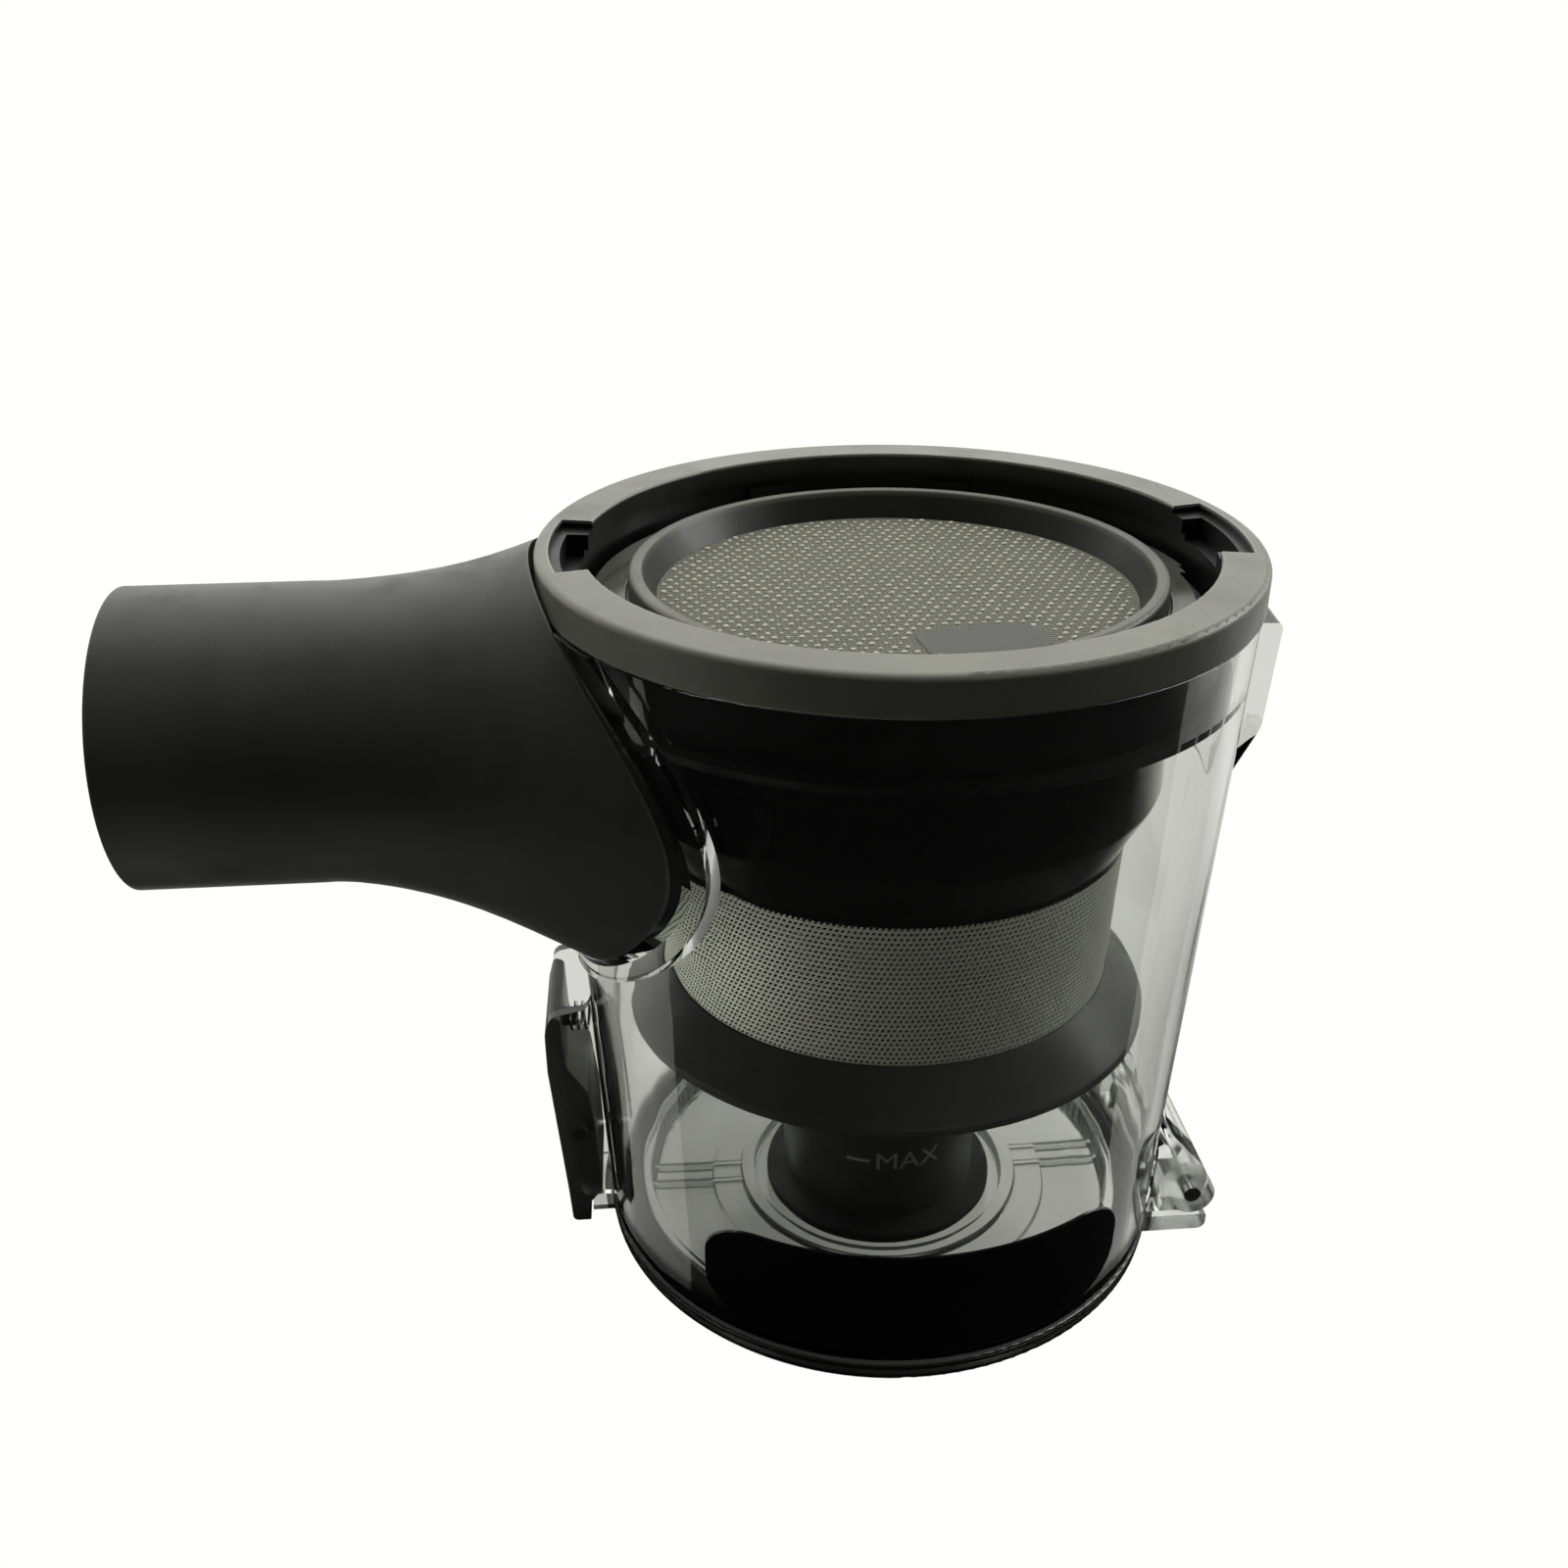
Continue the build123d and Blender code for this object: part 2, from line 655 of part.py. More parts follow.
weave_r = mouth_r - RUN / 2
parts["filter_fabric"] = Pos(0, 0, fabric_z - FABRIC_T / 2) * Cylinder(weave_r, FABRIC_T)

fold_count = 2 * math.floor(mouth_r / PLEAT_PITCH)
fold_half = fold_count * PLEAT_PITCH / 2
upper = []
lower = []
for k in range(2 * fold_count + 1):
    x = -fold_half + k * PLEAT_PITCH / 2
    z = pleat_top_z if k % 2 else pleat_foot_z
    upper.append((x, z + PLEAT_T))
    lower.append((x, z - PLEAT_T))
folds = prism(upper + lower[::-1], -mouth_r, mouth_r)
parts["filter_media"] = folds & (Pos(0, 0, fabric_z - PLEAT_H) * Cylinder(weave_r, 3 * PLEAT_H))

parts["filter_gasket"] = tube(filter_r, cup_r + RUN, gasket_foot_z, filter_seat_z)

# bare panel on the front of the bin
panel_plane = Plane(origin=(0, -collar_r - PAST, wall_foot_z + PANEL_RISE), x_dir=(1, 0, 0), z_dir=(0, 1, 0))
panel = extrude(panel_plane * RectangleRounded(PANEL_W, PANEL_H, PANEL_CORNER), amount=collar_r)
parts["front_decal"] = panel & (wall_core(PANEL_T) - wall_core(0))

# lid
ring_inner_r = boot_r + LID_WELL_ROOM
ring_r = ring_inner_r + LID_RING_T
step_r = ring_r + LID_STEP_W
lid = lathe([
    (0, 0),
    (lid_r - EDGE, 0, SOFT),
    (lid_r, LID_RIM_T, EDGE),
    (groove_r, LID_RIM_T),
    (groove_r, groove_z),
    (plug_r, groove_z),
    (plug_r, plug_top_z, EDGE),
    (plug_inner_r, plug_top_z, EDGE),
    (plug_inner_r - FINE, LID_FLOOR_T, SOFT),
    (step_r, LID_FLOOR_T),
    (step_r - FINE, LID_FLOOR_T + LID_STEP_H, FINE),
    (ring_r + FINE, LID_FLOOR_T + LID_STEP_H, FINE),
    (ring_r, LID_FLOOR_T + LID_RING_H, FINE),
    (ring_inner_r + FINE, LID_FLOOR_T + LID_RING_H, FINE),
    (ring_inner_r, well_z, FINE),
    (0, well_z),
])
rib_top = LID_FLOOR_T + LID_RIB_H
for side in (-1, 1):
    for along in (-1, 1):
        inner, outer = sorted((side * (ring_r - EDGE), side * (plug_inner_r + EDGE)))
        y = along * LID_RIB_PITCH / 2
        lid = lid + block(inner, outer, y - LID_RIB_T / 2, y + LID_RIB_T / 2, LID_FLOOR_T - EDGE, rib_top)

# tongue under the ears, web and knuckle on the hinge axis
tongue_top_z = hinge_z - KNUCKLE_R - TONGUE_GAP
tongue_x = hinge_x + KNUCKLE_R - TONGUE_BACK
tongue_line = [
    (lid_r - BROAD, 0),
    (tongue_x, 0, FULL),
    (tongue_x, tongue_top_z, EDGE),
    (lid_r - BROAD, tongue_top_z),
]
tongue = prism(tongue_line, -hinge_half, hinge_half)
lid = lid + (tongue - Pos(0, 0, LID_RIM_T) * Cylinder(lid_r - SOFT, PAST))
web_line = [
    (hinge_x - KNUCKLE_R + FINE, SOFT),
    (tongue_x, EDGE, FULL),
    (hinge_x + KNUCKLE_R, hinge_z, SOFT),
    (hinge_x - KNUCKLE_R + FINE, hinge_z),
]
lid = lid + prism(web_line, -knuckle_half, knuckle_half)
lid = lid + bar_y(hinge_x, hinge_z, KNUCKLE_R, knuckle_half)
lid = lid - bar_y(hinge_x, hinge_z, PIN_R + RUN, hinge_half)
lid = lid + block(catch_x, -lid_r + FULL, -CATCH_W / 2, CATCH_W / 2, LID_RIM_T - CATCH_T, LID_RIM_T)
parts["lid_disc"] = lid

seal_r = foot_bore_r - LID_SEAL_GAP
parts["lid_seal"] = lathe([
    (plug_r, groove_z),
    (groove_r, groove_z),
    (groove_r, LID_RIM_T),
    (seal_r, LID_RIM_T + LID_SEAL_H / 2, EDGE),
    (seal_r - SOFT, LID_RIM_T + LID_SEAL_H, EDGE),
    (plug_r, LID_RIM_T + LID_SEAL_H),
])

parts["hinge_pin"] = bar_y(hinge_x, hinge_z, PIN_R, hinge_half)

# latch lever with its hook, stud and pin hole
hook_z = LID_RIM_T - HOOK_DROP
hook_top_z = LID_RIM_T - CATCH_T - FINE
hook_x = catch_x - HOOK_GAP
front_x = latch_x - LEVER_FRONT
tongue_back_x = front_x + TONGUE_T
back_x = latch_x + LEVER_BACK
lever_line = [
    (hook_x - LEVER_BACK, hook_z, SOFT),
    (hook_x - LEVER_BACK - EDGE, hook_z + LEVER_CHIN, WIDE),
    (front_x, latch_z + LEVER_TOP_H / 2, BROAD),
    (front_x, latch_z + LEVER_TOP_H - LEVER_WAIST, BROAD),
    (front_x + LEVER_TIP_X, latch_z + LEVER_TOP_H, SOFT),
    (tongue_back_x, latch_z + LEVER_TOP_H - LEVER_TIP_Z, SOFT),
    (tongue_back_x + FINE, latch_z + LEVER_TOP_H / 2 + LEVER_ROOT, WIDE),
    (back_x - LEVER_ROOT, latch_z + LEVER_TOP_H / 3, SOFT),
    (back_x - FINE, latch_z - FULL, WIDE),
    (back_x, wall_foot_z + LEVER_WAIST, SOFT),
    (hook_x - EDGE, LID_RIM_T + SOFT, SOFT),
    (hook_x - EDGE, hook_top_z),
    (hook_x, hook_top_z, FINE),
    (hook_x, hook_z, FINE),
]
lever = prism(lever_line, -lever_half, lever_half)
stud_x = tongue_back_x - TONGUE_T / 2
stud_len = TONGUE_T / 2 + FULL
lever = lever + Pos(stud_x + stud_len / 2, 0, spring_z) * Rot(0, 90, 0) * Cylinder(STUD_R, stud_len)
lever = lever - bar_y(latch_x, latch_z, LATCH_PIN_R + RUN, cheek_out_y)
parts["latch_lever"] = lever
parts["latch_pin"] = bar_y(latch_x, latch_z, LATCH_PIN_R, cheek_out_y)

# spring between the wall and the lever's tongue
spring_foot_x = -wall_r(spring_z) - SPRING_WIRE_R - RUN
spring_len = spring_foot_x - tongue_back_x - 2 * SPRING_WIRE_R - EDGE
spring_path = Helix(pitch=SPRING_PITCH, height=spring_len, radius=SPRING_R)
spring_wire = Plane(origin=spring_path @ 0, z_dir=spring_path % 0) * Circle(SPRING_WIRE_R)
spring = sweep(spring_wire, path=spring_path)
parts["latch_spring"] = Pos(spring_foot_x, 0, spring_z) * Rot(0, -90, 0) * spring

os.makedirs("parts", exist_ok=True)
for name, shape in parts.items():
    solids = shape.solids()
    if len(solids) == 1:
        export_step(solids[0], "parts/" + name + ".step")
    else:
        export_step(shape, "parts/" + name + ".step")
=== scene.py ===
"""Cyclone dust bin: the looks of the clear bin, its duct, collar, mesh shroud, filter, lid and latch."""
import math

import bmesh
import bpy
from mathutils import Matrix, Vector


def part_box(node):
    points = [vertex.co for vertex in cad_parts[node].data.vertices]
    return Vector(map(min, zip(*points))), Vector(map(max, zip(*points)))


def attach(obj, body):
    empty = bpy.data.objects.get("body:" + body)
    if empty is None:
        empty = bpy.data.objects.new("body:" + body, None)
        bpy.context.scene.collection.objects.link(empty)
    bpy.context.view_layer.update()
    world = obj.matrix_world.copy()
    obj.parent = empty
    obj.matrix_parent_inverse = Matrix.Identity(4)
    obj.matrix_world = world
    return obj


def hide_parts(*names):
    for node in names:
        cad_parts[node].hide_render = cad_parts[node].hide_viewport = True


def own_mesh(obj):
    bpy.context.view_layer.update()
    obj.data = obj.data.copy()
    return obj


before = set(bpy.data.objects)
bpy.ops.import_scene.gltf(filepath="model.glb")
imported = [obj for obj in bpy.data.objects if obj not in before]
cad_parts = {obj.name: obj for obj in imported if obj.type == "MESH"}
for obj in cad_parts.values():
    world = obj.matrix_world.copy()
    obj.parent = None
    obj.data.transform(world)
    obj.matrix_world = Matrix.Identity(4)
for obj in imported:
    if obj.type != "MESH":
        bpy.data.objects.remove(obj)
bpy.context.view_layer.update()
scene = bpy.context.scene
scene.view_settings.view_transform = "Standard"

MM = 0.001
BIN = "bin"

# Camera
LENS = 36.23
SENSOR = 36.0
CAMERA_SPOT = (-0.0367, -0.2248, 0.1944)
CAMERA_TILT = math.radians(90 - 26.62)
CAMERA_TURN = math.radians(-4.99)

# Lamps: name, spot, aim, width, height, watts, and whether gloss mirrors the lamp
LAMPS = (
    ("overhead_box", (0.0, 0.2, 1.0), (0.0, 0.0, 0.1), 0.8, 0.7, 13.0, False),
    ("back_box", (-0.75, 0.45, 0.55), (-0.05, 0.0, 0.1), 0.4, 0.4, 2.2, False),
    ("window_box", (0.8, 0.2, 0.45), (0.0, 0.0, 0.07), 0.5, 0.5, 3.2, True),
    ("left_fill", (-0.6, -0.15, 0.22), (-0.02, 0.0, 0.07), 0.3, 0.3, 0.12, False),
    ("right_fill", (0.6, -0.35, 0.2), (0.0, 0.0, 0.06), 0.3, 0.3, 0.13, False),
    ("front_fill", (0.25, -0.8, 0.4), (0.0, 0.0, 0.07), 0.6, 0.4, 0.60, False),
)

# Glow of the room: its near side, the wall behind, the ceiling, and the least seen through clear plastic
NEAR_GLOW = 0.014
WALL_GLOW = 1.1
CEILING_GLOW = 0.5
LEAST_ABOVE = 0.3
LEAST_BELOW = 0.85
ROOM_WHITE = (1.0, 1.0, 0.98, 1.0)

# Glances inside one wall that still count as straight through, and how far the ray must head away
GLANCES = 9.0
HEADING_AWAY = 0.1

# Floor
FLOOR_HALF = 12.0
FLOOR_DROP = 0.4 * MM
FLOOR_DARK = (0.012, 0.012, 0.012, 1.0)
FLOOR_WHITE = (1.0, 1.0, 0.96, 1.0)
FLOOR_MOST = 0.8
DUCT_BOUNCE = 4.4

# Radii and heights where a moulding changes its tone, some of it painted shade in the collar's tube, inside
# the filter's rim and on the clear rim
COLLAR_LIP_REACH = 52.1 * MM
COLLAR_LIP_TOP = 121.5 * MM
COLLAR_RING_FOOT = 115.8 * MM
LEDGE_TOP = 114.1 * MM
MOUTH_REACH = (37.9 * MM, 38.5 * MM)
KNUCKLE_REACH = 50.6 * MM
KNUCKLE_TOP = 40.0 * MM
RIM_REACH = (45.0 * MM, 49.4 * MM)
RIM_HEIGHT = (6.0 * MM, 8.0 * MM)

# Cloth knots and the tab on the filter
KNOT_JITTER = 0.12 * MM
KNOT_SWELL = (0.75, 1.2)
KNOT_SWAY = (math.radians(25.0), math.radians(65.0))
TAB_SPOT = (9.0 * MM, -22.0 * MM)
TAB_BARE = (10.4 * MM, 6.6 * MM)
TAB_TURN = math.radians(9.0)
TAB_WIDE = 18.0 * MM
TAB_DEEP = 10.0 * MM
TAB_CORNER = 2.6 * MM
TAB_STEPS = 32

# Fill mark on the post
POST_RADIUS = 16.9 * MM
INK_LIFT = 0.06 * MM
MARK_HEIGHT = 18.3 * MM
MARK_LEFT = -2.8 * MM
MARK_WIDE = 11.3 * MM
MARK_TALL = 3.4 * MM
DASH_CORNERS = ((-8.0, -0.3), (-3.9, -0.3), (-3.9, 0.3), (-8.0, 0.3))
STRIP = 0.8 * MM
STRIPS_EACH_WAY = 14


# Nodes

def place(tree, kind, settings=None, inputs=None):
    """Adds a node with its settings; an input is a value, or a socket to take it from."""
    node = tree.nodes.new(kind)
    for key, value in (settings or {}).items():
        setattr(node, key, value)
    for key, value in (inputs or {}).items():
        if isinstance(value, bpy.types.NodeSocket):
            tree.links.new(value, node.inputs[key])
        else:
            node.inputs[key].default_value = value
    return node


def math_node(tree, operation, first, second=0.0):
    return place(tree, "ShaderNodeMath", {"operation": operation}, {0: first, 1: second}).outputs[0]


def product(tree, first, *others):
    for other in others:
        first = math_node(tree, "MULTIPLY", first, other)
    return first


def total(tree, first, *others):
    for other in others:
        first = math_node(tree, "ADD", first, other)
    return first


def ramp_range(tree, value, low, high, to_low, to_high, smooth=False):
    """A value's span laid onto another span."""
    settings = {"interpolation_type": "SMOOTHSTEP" if smooth else "LINEAR", "clamp": True}
    return place(tree, "ShaderNodeMapRange", settings, {
        "Value": value, "From Min": low, "From Max": high,
        "To Min": to_low, "To Max": to_high}).outputs["Result"]


def soft_ramp(tree, value, low, high, to_low, to_high):
    return ramp_range(tree, value, low, high, to_low, to_high, smooth=True)


def mix_value(tree, factor, first, second):
    mixer = place(tree, "ShaderNodeMix", inputs={"Factor": factor, "A": first, "B": second})
    return mixer.outputs["Result"]


def split(tree, vector):
    return place(tree, "ShaderNodeSeparateXYZ", inputs={0: vector}).outputs


def own_spot(tree):
    """Place on the piece, in metres."""
    return place(tree, "ShaderNodeTexCoord").outputs["Object"]


def noise(tree, spot, scale, **more):
    settings = {"Vector": spot, "Scale": scale}
    settings.update({key.capitalize(): value for key, value in more.items()})
    return place(tree, "ShaderNodeTexNoise", inputs=settings).outputs[0]


def show(tree, shader):
    """The material's surface."""
    place(tree, "ShaderNodeOutputMaterial", inputs={"Surface": shader.outputs[0]})


# Camera, floor and light

def studio_camera():
    lens = bpy.data.cameras.new("photo_camera")
    lens.lens = LENS
    lens.sensor_width = SENSOR
    lens.clip_start = 0.01
    lens.clip_end = 60.0
    camera = bpy.data.objects.new("photo_camera", lens)
    camera.location = CAMERA_SPOT
    camera.rotation_euler = (CAMERA_TILT, 0.0, CAMERA_TURN)
    scene.collection.objects.link(camera)
    scene.camera = camera


def straight_through(tree, path, heading):
    """One for a ray that has met only clear plastic since it left the camera. Glances inside one wall
    are let through where the ray still heads away from the camera."""
    bounces = total(tree, path.outputs["Diffuse Depth"], path.outputs["Glossy Depth"])
    one_wall = math_node(tree, "LESS_THAN", path.outputs["Transmission Depth"], 2.5)
    away = math_node(tree, "GREATER_THAN", heading, HEADING_AWAY)
    counted = math_node(tree, "SUBTRACT", bounces, product(tree, one_wall, away, GLANCES))
    straight = math_node(tree, "LESS_THAN", counted, 0.5)
    return product(tree, straight, path.outputs["Is Transmission Ray"])


def softbox(name, spot, aim, wide, tall, watts, mirrored):
    lamp = bpy.data.lights.new(name, "AREA")
    lamp.shape = "RECTANGLE"
    lamp.size = wide
    lamp.size_y = tall
    lamp.energy = watts
    holder = bpy.data.objects.new(name, lamp)
    holder.location = spot
    holder.rotation_euler = (Vector(aim) - Vector(spot)).to_track_quat("-Z", "Y").to_euler()
    holder.visible_glossy = mirrored
    scene.collection.objects.link(holder)


def studio_light():
    """A bright wall behind, a soft ceiling, a dark room on the near side, and a white backdrop all round."""
    world = bpy.data.worlds.new("studio")
    scene.world = world
    world.use_nodes = True
    tree = world.node_tree
    tree.nodes.clear()
    way = split(tree, place(tree, "ShaderNodeTexCoord").outputs["Generated"])
    wall = soft_ramp(tree, way["Y"], 0.05, 0.85, NEAR_GLOW, WALL_GLOW)
    ceiling = soft_ramp(tree, way["Z"], 0.25, 0.95, 0.0, CEILING_GLOW)
    back_half = soft_ramp(tree, way["Y"], -0.15, 0.35, 0.05, 1.0)
    above = total(tree, wall, product(tree, ceiling, back_half))
    below = math_node(tree, "LESS_THAN", way["Z"], 0.0)
    room = mix_value(tree, below, above, 0.0)
    veiled = math_node(tree, "MAXIMUM", room, mix_value(tree, below, LEAST_ABOVE, LEAST_BELOW))
    path = place(tree, "ShaderNodeLightPath")
    through = straight_through(tree, path, way["Y"])
    behind_clear = mix_value(tree, through, room, veiled)
    strength = mix_value(tree, path.outputs["Is Camera Ray"], behind_clear, 1.0)
    light = place(tree, "ShaderNodeBackground", inputs={"Color": ROOM_WHITE, "Strength": strength})
    place(tree, "ShaderNodeOutputWorld", inputs={"Surface": light.outputs[0]})
    for lamp in LAMPS:
        softbox(*lamp)


def floor_finish():
    """Dark to the plastics' own light, pale behind clear plastic, open to the camera and to shadows. The pale
    glow has painted shade round the bin and at its front edge, and painted light towards the window.
    """
    finish, tree = new_finish("floor_pale")
    path = place(tree, "ShaderNodeLightPath")
    spot = own_spot(tree)
    at = split(tree, spot)
    far = soft_ramp(tree, at["Y"], 0.02, 0.12, 0.0, 1.0)
    mirrored = product(tree, far, path.outputs["Is Glossy Ray"])
    back_along = split(tree, place(tree, "ShaderNodeNewGeometry").outputs["Incoming"])
    heading = product(tree, back_along["Y"], -1.0)
    lit = math_node(tree, "MAXIMUM", straight_through(tree, path, heading), mirrored)

    skin = place(tree, "ShaderNodeBsdfDiffuse", inputs={"Color": FLOOR_DARK})
    under_duct = soft_ramp(tree, at["X"], -0.10, -0.05, DUCT_BOUNCE, 0.0)
    behind = soft_ramp(tree, at["Y"], -0.12, -0.03, 0.0, 1.0)
    card = product(tree, under_duct, behind, path.outputs["Is Diffuse Ray"])
    bounce = place(tree, "ShaderNodeEmission", inputs={"Color": FLOOR_WHITE, "Strength": card})
    dim = place(tree, "ShaderNodeAddShader", inputs={0: skin.outputs[0], 1: bounce.outputs[0]})

    reach = place(tree, "ShaderNodeVectorMath", {"operation": "LENGTH"}, {0: spot}).outputs["Value"]
    # painted shade on the floor's glow under and in front of the bin, painted light towards the window
    shade_round_bin = soft_ramp(tree, reach, 0.034, 0.060, 0.24, 0.90)
    light_to_window = soft_ramp(tree, at["X"], -0.03, 0.03, 0.9, 1.9)
    shade_near_edge = soft_ramp(tree, at["Y"], -0.052, -0.030, 0.55, 1.0)
    glow = math_node(tree, "MINIMUM", product(tree, shade_round_bin, light_to_window, shade_near_edge), FLOOR_MOST)
    pale = place(tree, "ShaderNodeEmission", inputs={"Color": FLOOR_WHITE, "Strength": glow})

    solid = place(tree, "ShaderNodeMixShader", inputs={0: lit, 1: dim.outputs[0], 2: pale.outputs[0]})
    gap = place(tree, "ShaderNodeBsdfTransparent")
    open_to = math_node(tree, "MAXIMUM", path.outputs["Is Camera Ray"], path.outputs["Is Shadow Ray"])
    show(tree, place(tree, "ShaderNodeMixShader", inputs={
        0: open_to, 1: solid.outputs[0], 2: gap.outputs[0]}))
    return finish


def studio_floor():
    """A floor that the bin's plastics see and the camera doesn't, so a lid that swings down past it shows."""
    floor = bpy.data.meshes.new("floor")
    shape = bmesh.new()
    bmesh.ops.create_grid(shape, x_segments=1, y_segments=1, size=FLOOR_HALF)
    bmesh.ops.translate(shape, verts=shape.verts, vec=(0.0, 0.0, -FLOOR_DROP))
    shape.to_mesh(floor)
    shape.free()
    sheet = bpy.data.objects.new("floor", floor)
    scene.collection.objects.link(sheet)
    floor.materials.append(floor_finish())


# Shader groups that several finishes share

def shader_group(name, sizes, results):
    tree = bpy.data.node_groups.new(name, "ShaderNodeTree")
    for label, value in sizes.items():
        socket = tree.interface.new_socket(label, in_out="INPUT", socket_type="NodeSocketFloat")
        socket.default_value = value
    for label in results:
        tree.interface.new_socket(label, in_out="OUTPUT", socket_type="NodeSocketFloat")
    return tree, place(tree, "NodeGroupInput").outputs, place(tree, "NodeGroupOutput")


def make_moulded_grain():
    """Fine pebbled skin of a moulding, with a slow drift of its tone."""
    tree, entry, result = shader_group(
        "moulded_grain", {"Grain": 2200.0, "Drift": 38.0}, ("Height", "Tone"))
    spot = own_spot(tree)
    pebble = noise(tree, spot, entry["Grain"], detail=1.0, roughness=0.6)
    drift = noise(tree, spot, entry["Drift"], detail=3.0, roughness=0.62)
    tree.links.new(pebble, result.inputs["Height"])
    tree.links.new(ramp_range(tree, drift, 0.3, 0.7, 0.0, 1.0), result.inputs["Tone"])
    return tree


def make_handling_wear():
    """Finger smudges, hairline scratches and the paler line along rubbed edges."""
    tree, entry, result = shader_group(
        "handling_wear", {"Smudge size": 60.0, "Edge width": 0.6 * MM}, ("Smudge", "Scratch", "Edge"))
    spot = own_spot(tree)
    blot = noise(tree, spot, entry["Smudge size"], detail=4.0, roughness=0.55, distortion=0.8)
    drawn = place(tree, "ShaderNodeMapping", inputs={
        "Vector": spot, "Rotation": (0.35, 0.2, 0.5), "Scale": (1.0, 0.05, 1.0)})
    hair = noise(tree, drawn.outputs[0], 1500.0, detail=1.0, roughness=0.4)
    true_way = place(tree, "ShaderNodeNewGeometry").outputs["Normal"]
    round_way = place(tree, "ShaderNodeBevel", {"samples": 4}, {"Radius": entry["Edge width"]}).outputs[0]
    facing = place(tree, "ShaderNodeVectorMath", {"operation": "DOT_PRODUCT"},
                   {0: true_way, 1: round_way}).outputs["Value"]
    bend = ramp_range(tree, facing, 0.995, 0.88, 0.0, 1.0)
    edge = product(tree, bend, ramp_range(tree, blot, 0.3, 0.6, 0.45, 1.0))
    tree.links.new(soft_ramp(tree, blot, 0.42, 0.68, 0.0, 1.0), result.inputs["Smudge"])
    tree.links.new(ramp_range(tree, hair, 0.7, 0.76, 0.0, 1.0), result.inputs["Scratch"])
    tree.links.new(edge, result.inputs["Edge"])
    return tree


def make_mould_flow():
    """Slow ripple and faint haze of clear plastic, drawn out along the pull of the mould."""
    tree, entry, result = shader_group("mould_flow", {"Ripple": 55.0}, ("Height", "Haze"))
    spot = own_spot(tree)
    pulled = place(tree, "ShaderNodeMapping", inputs={"Vector": spot, "Scale": (1.0, 1.0, 0.3)})
    ripple = noise(tree, pulled.outputs[0], entry["Ripple"], detail=2.0)
    film = noise(tree, spot, 90.0, detail=5.0, roughness=0.7, distortion=0.5)
    tree.links.new(ripple, result.inputs["Height"])
    tree.links.new(ramp_range(tree, film, 0.45, 0.75, 0.0, 1.0), result.inputs["Haze"])
    return tree


def make_thread_weave():
    """Over-and-under threads at forty-five degrees, with uneven yarn."""
    tree, entry, result = shader_group(
        "thread_weave", {"Thread pitch": 0.9 * MM, "Fuzz": 0.5}, ("Height", "Tone"))
    spot = own_spot(tree)
    turned = place(tree, "ShaderNodeMapping", inputs={
        "Vector": spot, "Rotation": (0.0, 0.0, math.radians(45.0))}).outputs[0]
    sway = product(tree, noise(tree, turned, 420.0, detail=2.0), 2.4)
    at = split(tree, turned)
    beat = math_node(tree, "DIVIDE", math.tau, entry["Thread pitch"])
    across = math_node(tree, "SINE", total(tree, product(tree, at["X"], beat), sway))
    along = math_node(tree, "SINE", total(tree, product(tree, at["Y"], beat), sway))
    cross = product(tree, across, along)
    fibre = noise(tree, spot, 6000.0, detail=2.0, roughness=0.7)
    height = total(tree, ramp_range(tree, cross, -1.0, 1.0, 0.0, 1.0),
                   product(tree, fibre, entry["Fuzz"]))
    tree.links.new(height, result.inputs["Height"])
    tree.links.new(ramp_range(tree, height, 0.2, 1.3, 0.0, 1.0), result.inputs["Tone"])
    return tree


moulded_grain = make_moulded_grain()
handling_wear = make_handling_wear()
mould_flow = make_mould_flow()
thread_weave = make_thread_weave()


# Finishes

def new_finish(name):
    finish = bpy.data.materials.new(name)
    finish.use_nodes = True
    finish.node_tree.nodes.clear()
    return finish, finish.node_tree


def group_outputs(tree, group, values):
    return place(tree, "ShaderNodeGroup", {"node_tree": group}, values).outputs


def blend_colour(tree, factor, first, second):
    """Colour between two, by a mask; either may be a socket."""
    return place(tree, "ShaderNodeMix", {"data_type": "RGBA"}, {
        "Factor": factor, 6: first, 7: second}).outputs[2]


def bump(tree, height, strength, depth):
    return place(tree, "ShaderNodeBump", inputs={
        "Strength": strength, "Distance": depth, "Height": height}).outputs[0]


def grey(level, olive=0.0):
    """A grey by its linear level, with a share of olive in it."""
    return (level, level * (1 + 0.02 * olive), level * (1 - 0.2 * olive), 1.0)


def reach_of(tree):
    """Distance from the bin's axis."""
    at = split(tree, own_spot(tree))
    flat = place(tree, "ShaderNodeCombineXYZ", inputs={"X": at["X"], "Y": at["Y"]}).outputs[0]
    return place(tree, "ShaderNodeVectorMath", {"operation": "LENGTH"}, {0: flat}).outputs["Value"]


def height_of(tree):
    return split(tree, own_spot(tree))["Z"]


def collar_tube_shade_mask(tree):
    """One in the collar's notches, on its inner lip and its tube, where painted shade darkens the grey;
    nought on the ring outside.
    """
    height = height_of(tree)
    inside = math_node(tree, "LESS_THAN", reach_of(tree), COLLAR_LIP_REACH)
    sunk = math_node(tree, "LESS_THAN", height, COLLAR_LIP_TOP)
    below = math_node(tree, "LESS_THAN", height, COLLAR_RING_FOOT)
    return math_node(tree, "MAXIMUM", product(tree, inside, sunk), below)


def ledge_mask(tree):
    """One on top of the shroud's ledge."""
    return math_node(tree, "GREATER_THAN", height_of(tree), LEDGE_TOP)


def mouth_shade_mask(tree):
    """One on the wall inside the filter's rim, where painted shade darkens the frame."""
    return ramp_range(tree, reach_of(tree), *MOUTH_REACH, 1.0, 0.0)


def knuckle_mask(tree):
    """One on the hinge ears and the latch cheeks, outside the bin's wall."""
    outside = math_node(tree, "GREATER_THAN", reach_of(tree), KNUCKLE_REACH)
    low = math_node(tree, "LESS_THAN", height_of(tree), KNUCKLE_TOP)
    return product(tree, outside, low)


